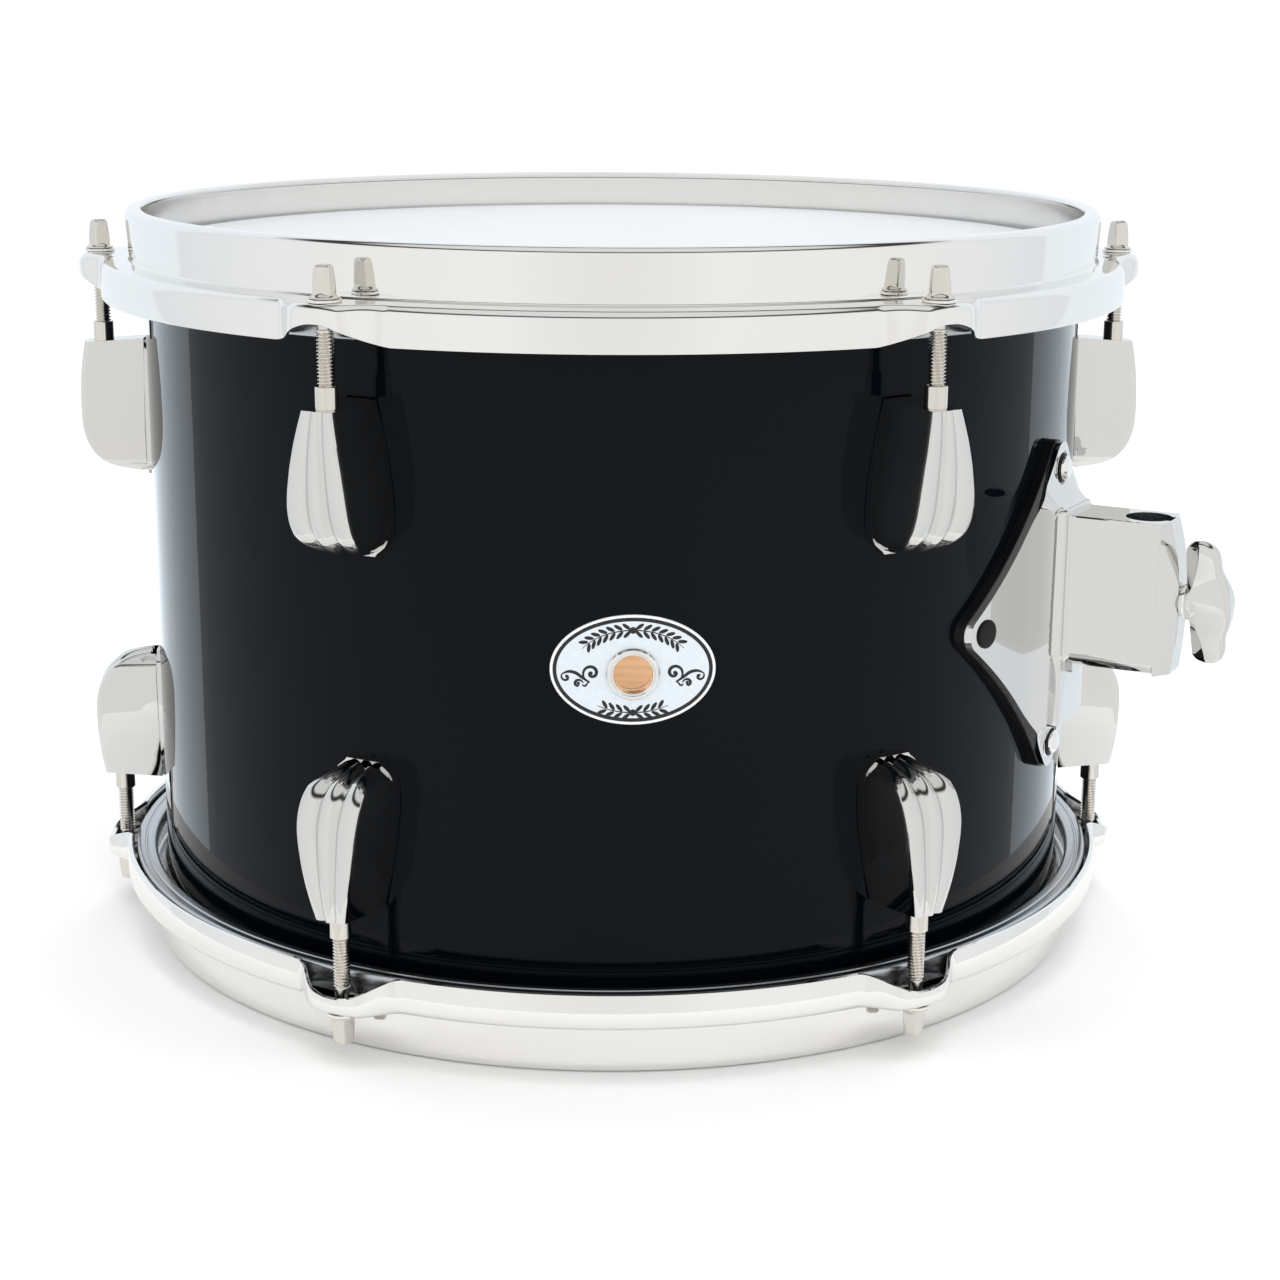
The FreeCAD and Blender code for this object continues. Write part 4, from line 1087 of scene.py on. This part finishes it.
def build_mount():
    """Gasket, flared diamond plate with its pad, and the receiver block with its bore."""
    place = middle_of_drum(MOUNT_ANGLE)
    gasket = Shape()
    slab(gasket, diamond_half(0.45), SHELL + 0.03, lambda x, z: PLATE_BACK - 0.03, across=36)
    piece = bevel(make("mount_gasket_rubber", gasket, [RUBBER], sharp=80), 0.9, segments=5)
    smooth(piece, 80)
    settle(piece, "drum_shell", ["mount_gasket"], place)

    plate = Shape()
    slab(plate, diamond_half(0), PLATE_BACK, plate_height, across=110)
    fixings = [Matrix.Translation((0, 0, PLATE_LEVEL + way * FIXING)) for way in (1, -1)]
    holes = [bar(5.6, 160, 180, spot @ OUTWARDS) for spot in fixings]
    piece = cut_away(make("mount_plate", plate, [CAST_NICKEL], sharp=40), holes, sharp=40)
    bevel(piece, 0.5, segments=4)
    settle(piece, "drum_shell", ["mount_bracket"], place)

    pad = Shape()
    corners = ((PAD_HALF, PAD_FOOT), (PAD_HALF, PAD_TOP), (-PAD_HALF, PAD_TOP), (-PAD_HALF, PAD_FOOT))
    outline = rounded([(x, z, 1.2) for x, z in corners], steps=4)
    loops = []
    edge = ((PLATE_FACE - PAD_REACH, 0), (-0.6, 0), (-0.3, 0.08), (-0.08, 0.28), (0, 0.6))
    for reach, inset in ((PAD_REACH + back, inset) for back, inset in edge):
        loop = []
        for p in outline:
            x = p.x - math.copysign(inset, p.x)
            z = p.y - math.copysign(inset, p.y - (PAD_TOP + PAD_FOOT) / 2)
            loop.append(Vector((x, -reach, z)))
        loops.append(loop)
    pad.tube(loops)
    low = BLOCK_FOOT - 2.6
    gusset = rounded([(-9.5, low, 0.8), (9.5, low, 0.8), (9.5, BLOCK_FOOT + 5), (-9.5, BLOCK_FOOT + 5)])
    pad.tube([[Vector((p.x, -r, p.y)) for p in gusset] for r in (PAD_REACH - 1, PAD_REACH + 3.4)])
    piece = bevel(make("mount_pad", pad, [CAST_NICKEL], sharp=40), 0.35)
    settle(piece, "drum_shell", ["mount_bracket"], place)

    block = Shape()
    middle = (BLOCK_TOP + BLOCK_FOOT) / 2
    tall = (BLOCK_TOP - BLOCK_FOOT) / 2
    loops = []
    keel = 4.2  # radius of the rounded lower edges
    for turn in spread(90, 0, 9):
        a = math.radians(turn)
        height = BLOCK_FOOT + keel * (1 - math.sin(a))
        inset = keel * (1 - math.cos(a))
        loops.append((height, inset, max(0.0, 0.3 - height + BLOCK_FOOT)))
    loops += [(height, 0, 0) for height in spread(BLOCK_FOOT + keel + 1.5, BLOCK_TOP - 2, 24)]
    loops += [(BLOCK_TOP - 0.5, 0, 0), (BLOCK_TOP - 0.15, 0.14, 0.14), (BLOCK_TOP, 0.42, 0.42)]
    skins = []
    for height, side_inset, nose_inset in loops:
        plan = block_outline((height - middle) / tall, side_inset, nose_inset)
        skins.append([Vector((p.x, -p.y, height)) for p in plan])
    block.tube(skins)
    bore = bar(BORE, -30, 50, Matrix.Translation((0, -ARM_CIRCLE, 0)), steps=96)
    notch = Shape()
    notch.tube(box_loops((-3.4, 3.4), (-(ARM_CIRCLE + BORE + 0.6), -(ARM_CIRCLE + 3)), (BLOCK_TOP - 1.7, 50)))
    draw = 1.9  # the eye's travel when the wing nut draws it out
    centres = (ARM_CIRCLE, ARM_CIRCLE + draw)
    seats = [bar(BORE + 2.3, 3.6, 13.4, Matrix.Translation((0, -centre, 0))) for centre in centres]
    shank = bar(4.15, 200, 230, wing_axis(), steps=32)
    piece = make("mount_block", block, [CAST_NICKEL], sharp=40)
    cut_away(piece, [bore, notch, shank] + seats, sharp=17)
    piece.data.materials.append(ALUMINIUM)
    for face in piece.data.polygons:
        off_axis = math.hypot(face.center.x, face.center.y + ARM_CIRCLE * MM)
        if off_axis < (BORE + 0.05) * MM and abs(face.normal.z) < 0.5:
            face.material_index = 1
    bevel(piece, 0.25, segments=2, angle=60)
    settle(piece, "drum_shell", ["mount_bracket"], place)
    boss = Shape()
    foot, top = NOSE - 1.5, CAP_REACH - 0.03
    boss.lathe(rounded([(4.2, foot), (5.3, foot), (5.3, top, 0.3), (4.2, top)]), 48, place=wing_axis())
    settle(make("mount_block_boss", boss, [CAST_NICKEL]), "drum_shell", ["mount_bracket"], place)


def wing_axis():
    """Drawing space of pieces turned round the wing screw, +Z outwards, within the mount's space."""
    return Matrix.Translation((0, 0, WING_LEVEL)) @ OUTWARDS


def box_loops(xs, ys, zs):
    """The two ends of a plain box, for a cutting tool."""
    corners = ((0, 0), (1, 0), (1, 1), (0, 1))
    return [[Vector((xs[i], ys[j], z)) for i, j in corners] for z in zs]


def build_fixings():
    """Domed screws in rubber rings above and below the block, and rubber plugs at its sides."""
    plug_turn = 16.3  # degrees round the drum from the block to a side plug
    where = middle_of_drum(MOUNT_ANGLE)
    screws = Shape()
    rings = Shape()
    cups = Shape()
    for way in (1, -1):
        level = PLATE_LEVEL + way * FIXING
        seat = plate_height(0, level)
        place = Matrix.Translation((0, 0, level)) @ OUTWARDS @ Matrix.Translation((0, 0, seat))
        dome = [(0, -2), (3.7, -2), (4.1, 0.9, 0.2), (4.0, 1.5, 0.5), (2.9, 2.5, 1.5), (0, 2.8)]
        head = rounded(dome, closed=False)
        ring = rounded([(4.15, -1.5), (5.0, -1.5), (5.0, 0.4, 0.35), (4.15, 0.6, 0.2)])
        cup = rounded([(5.0, -1.5), (5.55, -1.5), (5.55, -0.25, 0.2), (5.0, 0.1, 0.2)])
        screws.lathe(head, 56, closed=False, place=place)
        rings.lathe(ring, 56, place=place)
        cups.lathe(cup, 56, place=place)
    for name, shape, surface, slot, replaced in (
        ("heads", screws, NICKEL, "chrome", "mount_screws"),
        ("rings", rings, RUBBER, "black_rubber", "mount_isolators"),
        ("cups", cups, NICKEL, "black_rubber", "mount_isolators"),
    ):
        settle(make(f"mount_screw_{name}", shape, [surface]), "drum_shell", [replaced], where)
    caps = Shape()
    cap = rounded([(0, -1), (4.7, -1), (4.7, 0.45, 0.35), (4.0, 0.75, 0.6), (0, 0.95)], closed=False)
    at_face = Matrix.Translation((0, 0, PLATE_LEVEL)) @ OUTWARDS @ Matrix.Translation((0, 0, PLATE_FACE))
    for way in (1, -1):
        turn = Matrix.Rotation(math.radians(way * plug_turn), 4, "Z")
        caps.lathe(cap, 56, closed=False, place=turn @ at_face)
    settle(make("mount_side_caps", caps, [RUBBER]), "drum_shell", ["mount_plugs"], where)


def build_clamp():
    """Eye bolt in the bore, washer, and a wing nut with two rounded wings."""
    place = middle_of_drum(MOUNT_ANGLE)
    eye = Shape()
    ring = [(r, z, 0.4) for r, z in ((BORE, 4.1), (BORE + 2, 4.1), (BORE + 2, 12.9), (BORE, 12.9))]
    eye.lathe(rounded(ring, steps=3), 72, place=Matrix.Translation((0, -ARM_CIRCLE, 0)))
    root, tip = ARM_CIRCLE + BORE + 1, CAP_REACH + 8.5
    shank = [(0, root), (3.85, root), (3.85, tip - 0.5), (3.2, tip), (0, tip)]
    eye.lathe(shank, 40, closed=False, place=wing_axis())
    settle(make("clamp_eye_steel", eye, [NICKEL]), "clamp_eye", ["clamp_eye_bolt"], place)

    washer = Shape()
    profile = rounded(
        [(4.2, CAP_REACH), (6.2, CAP_REACH), (6.2, CAP_REACH + 0.8, 0.3), (4.2, CAP_REACH + 0.8, 0.2)]
    )
    washer.lathe(profile, 48, place=wing_axis())
    settle(make("wing_washer_steel", washer, [NICKEL]), "drum_shell", ["wing_washer"], place)

    wing = Shape()
    tilt = math.radians(21)
    reach = 23.6
    # tables by distance from the wing nut's axis: top, foot, rise of the foot's sides, half thickness
    tops = [
        (0, 227.8), (5, 227.3), (8, 226.5), (10, 225.8), (12, 225.15), (14, 224.8), (16, 224.7), (18, 224.5),
        (20, 223.9), (21.5, 222.8), (22.8, 221.0), (23.4, 219.6), (reach, 218.6),
    ]
    feet = [
        (0, 212.9), (5, 213.1), (7, 213.3), (19, 213.6), (21, 214.1), (22.4, 215.4), (23.2, 217.0),
        (reach, 218.5),
    ]
    rises = [
        (0, 0.4), (4.5, 0.5), (6, 1.6), (10, 2.7), (16, 4.0), (20, 4.4), (22, 3.4), (23, 1.4), (reach, 0.03),
    ]
    halves = [
        (0, 4.6), (3, 4.3), (6, 3.4), (9, 2.85), (12, 2.55), (18, 2.45), (21, 2.2), (22.6, 1.6),
        (reach, 0.05),
    ]
    tables = [[tuple(p) for p in curve_through(table, 5)] for table in (tops, feet, rises, halves)]
    loops = []
    for share in spread(-1, 1, 72):
        v = reach * math.sin(share * math.pi / 2)
        top, foot, rise, half = (between(table, abs(v)) for table in tables)
        keel = min(0.8, 0.45 * half)
        if abs(v) < 6:
            keel = min(0.8 + 3.4 * (1 - ease(abs(v), 4.0, 6.0)), 0.9 * half)
        section = [
            (-keel, foot, 0.3), (keel, foot, 0.3), (half, foot + rise, 0.5), (half, top, 1.9),
            (-half, top, 1.9), (-half, foot + rise, 0.5),
        ]
        loop = []
        for side, radial in rounded(section, steps=5):
            x = side * math.cos(tilt) - v * math.sin(tilt)
            z = v * math.cos(tilt) + side * math.sin(tilt) + WING_LEVEL
            loop.append(Vector((x, -radial, z)))
        loops.append(loop)
    wing.tube(loops)
    hub = rounded(
        [
            (3.95, CAP_REACH - 0.1), (5.3, CAP_REACH - 0.1, 0.2), (5.3, CAP_REACH + 2.6, 0.8),
            (4.4, CAP_REACH + 5, 1.0), (3.95, CAP_REACH + 5),
        ]
    )
    wing.lathe(hub, 56, place=wing_axis())
    nut = make("wing_nut_cast", wing, [CAST_NICKEL], sharp=50)
    nut.data.transform(in_metres(place))  # turned in its mesh, so that its box is not wider than the nut
    settle(nut, "wing", ["wing_nut"])


# ---------------------------------------------------------------- CAD nodes that stay


def dress_inner_parts():
    """Materials for the CAD nodes that keep their own shape."""
    finishes = {
        "batter_reinforcement_ring": MAPLE,
        "resonant_reinforcement_ring": MAPLE,
        "batter_nut_clips": ZINC,
        "resonant_nut_clips": ZINC,
        "lug_screws": ZINC,
        "lug_screw_washers": ZINC,
        "vent_grommet_washer": ZINC,
        "mount_washers": ZINC,
        "mount_lock_nuts": ZINC,
    }
    for name, finish in finishes.items():
        piece = frame["nodes"][name]
        piece.data.materials.clear()
        piece.data.materials.append(finish)


# ---------------------------------------------------------------- floor, light and camera


def build_studio():
    """White floor, a soft light surround with a dark ring overhead for mirrors, and the lamps."""
    made, tree, shader = material("studio_floor", (0.93, 0.93, 0.93))
    shader.inputs["Roughness"].default_value = 0.8
    shader.inputs["Specular IOR Level"].default_value = 0.1
    mottle = noise(tree, stretched(tree), 3, detail=2)
    tone = ramp(tree, mottle, [(0.3, [0.925] * 3), (0.7, [0.935] * 3)])
    tree.links.new(tone, shader.inputs["Base Color"])
    near, far = 250, 12000  # mirrors see the floor up to the first, and the surround past it
    turns = spread(0, 2 * math.pi, 128)[:-1]
    edge, horizon = ([ring_point(a, reach, -0.1) for a in turns] for reach in (near, far))
    middle = Shape()
    middle.points = edge
    middle.face(range(len(edge)))
    make("studio_floor_middle", middle, [made])
    outer = Shape()
    outer.grid([edge, horizon], close_columns=True)
    around = make("studio_floor", outer, [made])
    around.visible_glossy = False
    around.visible_shadow = False

    world = bpy.data.worlds.new("studio")
    scene.world = world
    world.use_nodes = True
    tree = world.node_tree
    sky = tree.nodes["Background"]
    sky.inputs["Strength"].default_value = 2.0  # so every colour below is half of its brightness
    place = node(tree, "TexCoord")
    parts = node(tree, "SeparateXYZ")
    tree.links.new(place.outputs["Generated"], parts.inputs["Vector"])
    unit = node(tree, "VectorMath", operation="NORMALIZE")
    tree.links.new(on_floor_plan(tree, parts), unit.inputs[0])
    ahead = node(tree, "VectorMath", operation="DOT_PRODUCT")
    ahead.inputs[1].default_value = (math.sin(SIGHT_TURN), math.cos(SIGHT_TURN), 0)
    tree.links.new(unit.outputs[0], ahead.inputs[0])
    walls = ramp(
        tree,
        remap(tree, ahead.outputs["Value"], -1, 1),
        [
            (0.0, (0.46, 0.458, 0.45)), (0.04, (0.49, 0.49, 0.485)), (0.5, (0.46, 0.468, 0.475)),
            (0.722, (0.42, 0.435, 0.455)), (0.735, (0.462, 0.492, 0.515)), (0.97, (0.462, 0.492, 0.52)),
            (1.0, (0.46, 0.485, 0.505)),
        ],
    )
    ceiling = node(tree, "Mix", data_type="RGBA")
    tree.links.new(remap(tree, parts.outputs["Z"], 0.7, 0.77), ceiling.inputs[0])
    tree.links.new(walls, ceiling.inputs[6])
    overhead_tones = [(0.83, (0.03, 0.028, 0.026)), (0.89, (0.4, 0.405, 0.41))]
    tree.links.new(ramp(tree, parts.outputs["Z"], overhead_tones), ceiling.inputs[7])
    rays = node(tree, "LightPath")
    chosen = node(tree, "Mix", data_type="RGBA")
    tree.links.new(rays.outputs["Is Glossy Ray"], chosen.inputs[0])
    chosen.inputs[6].default_value = (0.55, 0.55, 0.55, 1)
    tree.links.new(ceiling.outputs[2], chosen.inputs[7])
    tree.links.new(chosen.outputs[2], sky.inputs["Color"])

    overhead = lamp("overhead_box", Vector((0.1, 0.1, 1.7)), (1.4, 1.4), 13.5)
    overhead.visible_glossy = False
    front = lamp("front_box", Vector((0.3, -1.7, 1.5)), (1.2, 0.7), 4.0)
    front.visible_glossy = False
    inside = lamp("inside_glow", Vector((0, 0, 0.205)), (0.2, 0.2), 0.45)
    inside.visible_camera = False
    inside.visible_glossy = False
    lacquered = bpy.data.collections.new("lacquered")
    lacquered.objects.link(bpy.data.objects["shell_wood"])
    for side in (-1, 1):
        turn = SIGHT_TURN + side * math.radians(38)
        spot = Vector((math.sin(turn) * 2.6, math.cos(turn) * 2.6, 0.0))
        panel = lamp(f"back_panel_{'left' if side < 0 else 'right'}", spot, (2.32, 3.6), 30.0)
        panel.data.color = (0.8, 0.91, 1.0)
        panel.visible_camera = False
        panel.visible_diffuse = False
        panel.light_linking.receiver_collection = lacquered


def lamp(name, spot, size, power):
    """A soft box aimed at the middle of the drum."""
    light = bpy.data.lights.new(name, "AREA")
    light.shape = "RECTANGLE"
    light.size, light.size_y = size
    light.energy = power
    holder = bpy.data.objects.new(name, light)
    scene.collection.objects.link(holder)
    holder.location = spot
    aim = Vector((0, 0, 0.12)) - spot
    holder.rotation_euler = aim.to_track_quat("-Z", "Y").to_euler()
    return holder


def remap(tree, value, low, high):
    """A value from low to high brought to 0 to 1."""
    made = node(tree, "MapRange")
    made.inputs["From Min"].default_value = low
    made.inputs["From Max"].default_value = high
    tree.links.new(value, made.inputs["Value"])
    return made.outputs["Result"]


SIGHT_TURN = math.radians(2.82)  # the camera looks this far round from +Y towards +X
SIGHT_DOWN = math.radians(14.395)
SIGHT_ROLL = math.radians(0.332)
SIGHT_FROM = (-0.03304, -0.8762, 0.3211)


def build_camera():
    """The camera, a little above the drum and a little to the left of its badge."""
    lens = bpy.data.cameras.new("camera")
    lens.lens = 69.185
    lens.sensor_width = 36
    lens.clip_end = 100
    holder = bpy.data.objects.new("camera", lens)
    scene.collection.objects.link(holder)
    flat = math.cos(SIGHT_DOWN)
    ahead = Vector((math.sin(SIGHT_TURN) * flat, math.cos(SIGHT_TURN) * flat, -math.sin(SIGHT_DOWN)))
    right = Vector((math.cos(SIGHT_TURN), -math.sin(SIGHT_TURN), 0))
    up = right.cross(ahead)
    c, s = math.cos(SIGHT_ROLL), math.sin(SIGHT_ROLL)
    right, up = right * c + up * s, up * c - right * s
    turn = Matrix((right, up, -ahead)).transposed().to_4x4()
    holder.matrix_world = Matrix.Translation(SIGHT_FROM) @ turn
    scene.camera = holder


build_shell()
build_films()
build_flesh_hoops()
build_hoops()
build_rods()
build_small_rounds()
build_lugs()
build_badge()
build_mount()
build_fixings()
build_clamp()
dress_inner_parts()
build_studio()
build_camera()
scene.view_settings.view_transform = "Standard"
scene.cycles.use_denoising = True
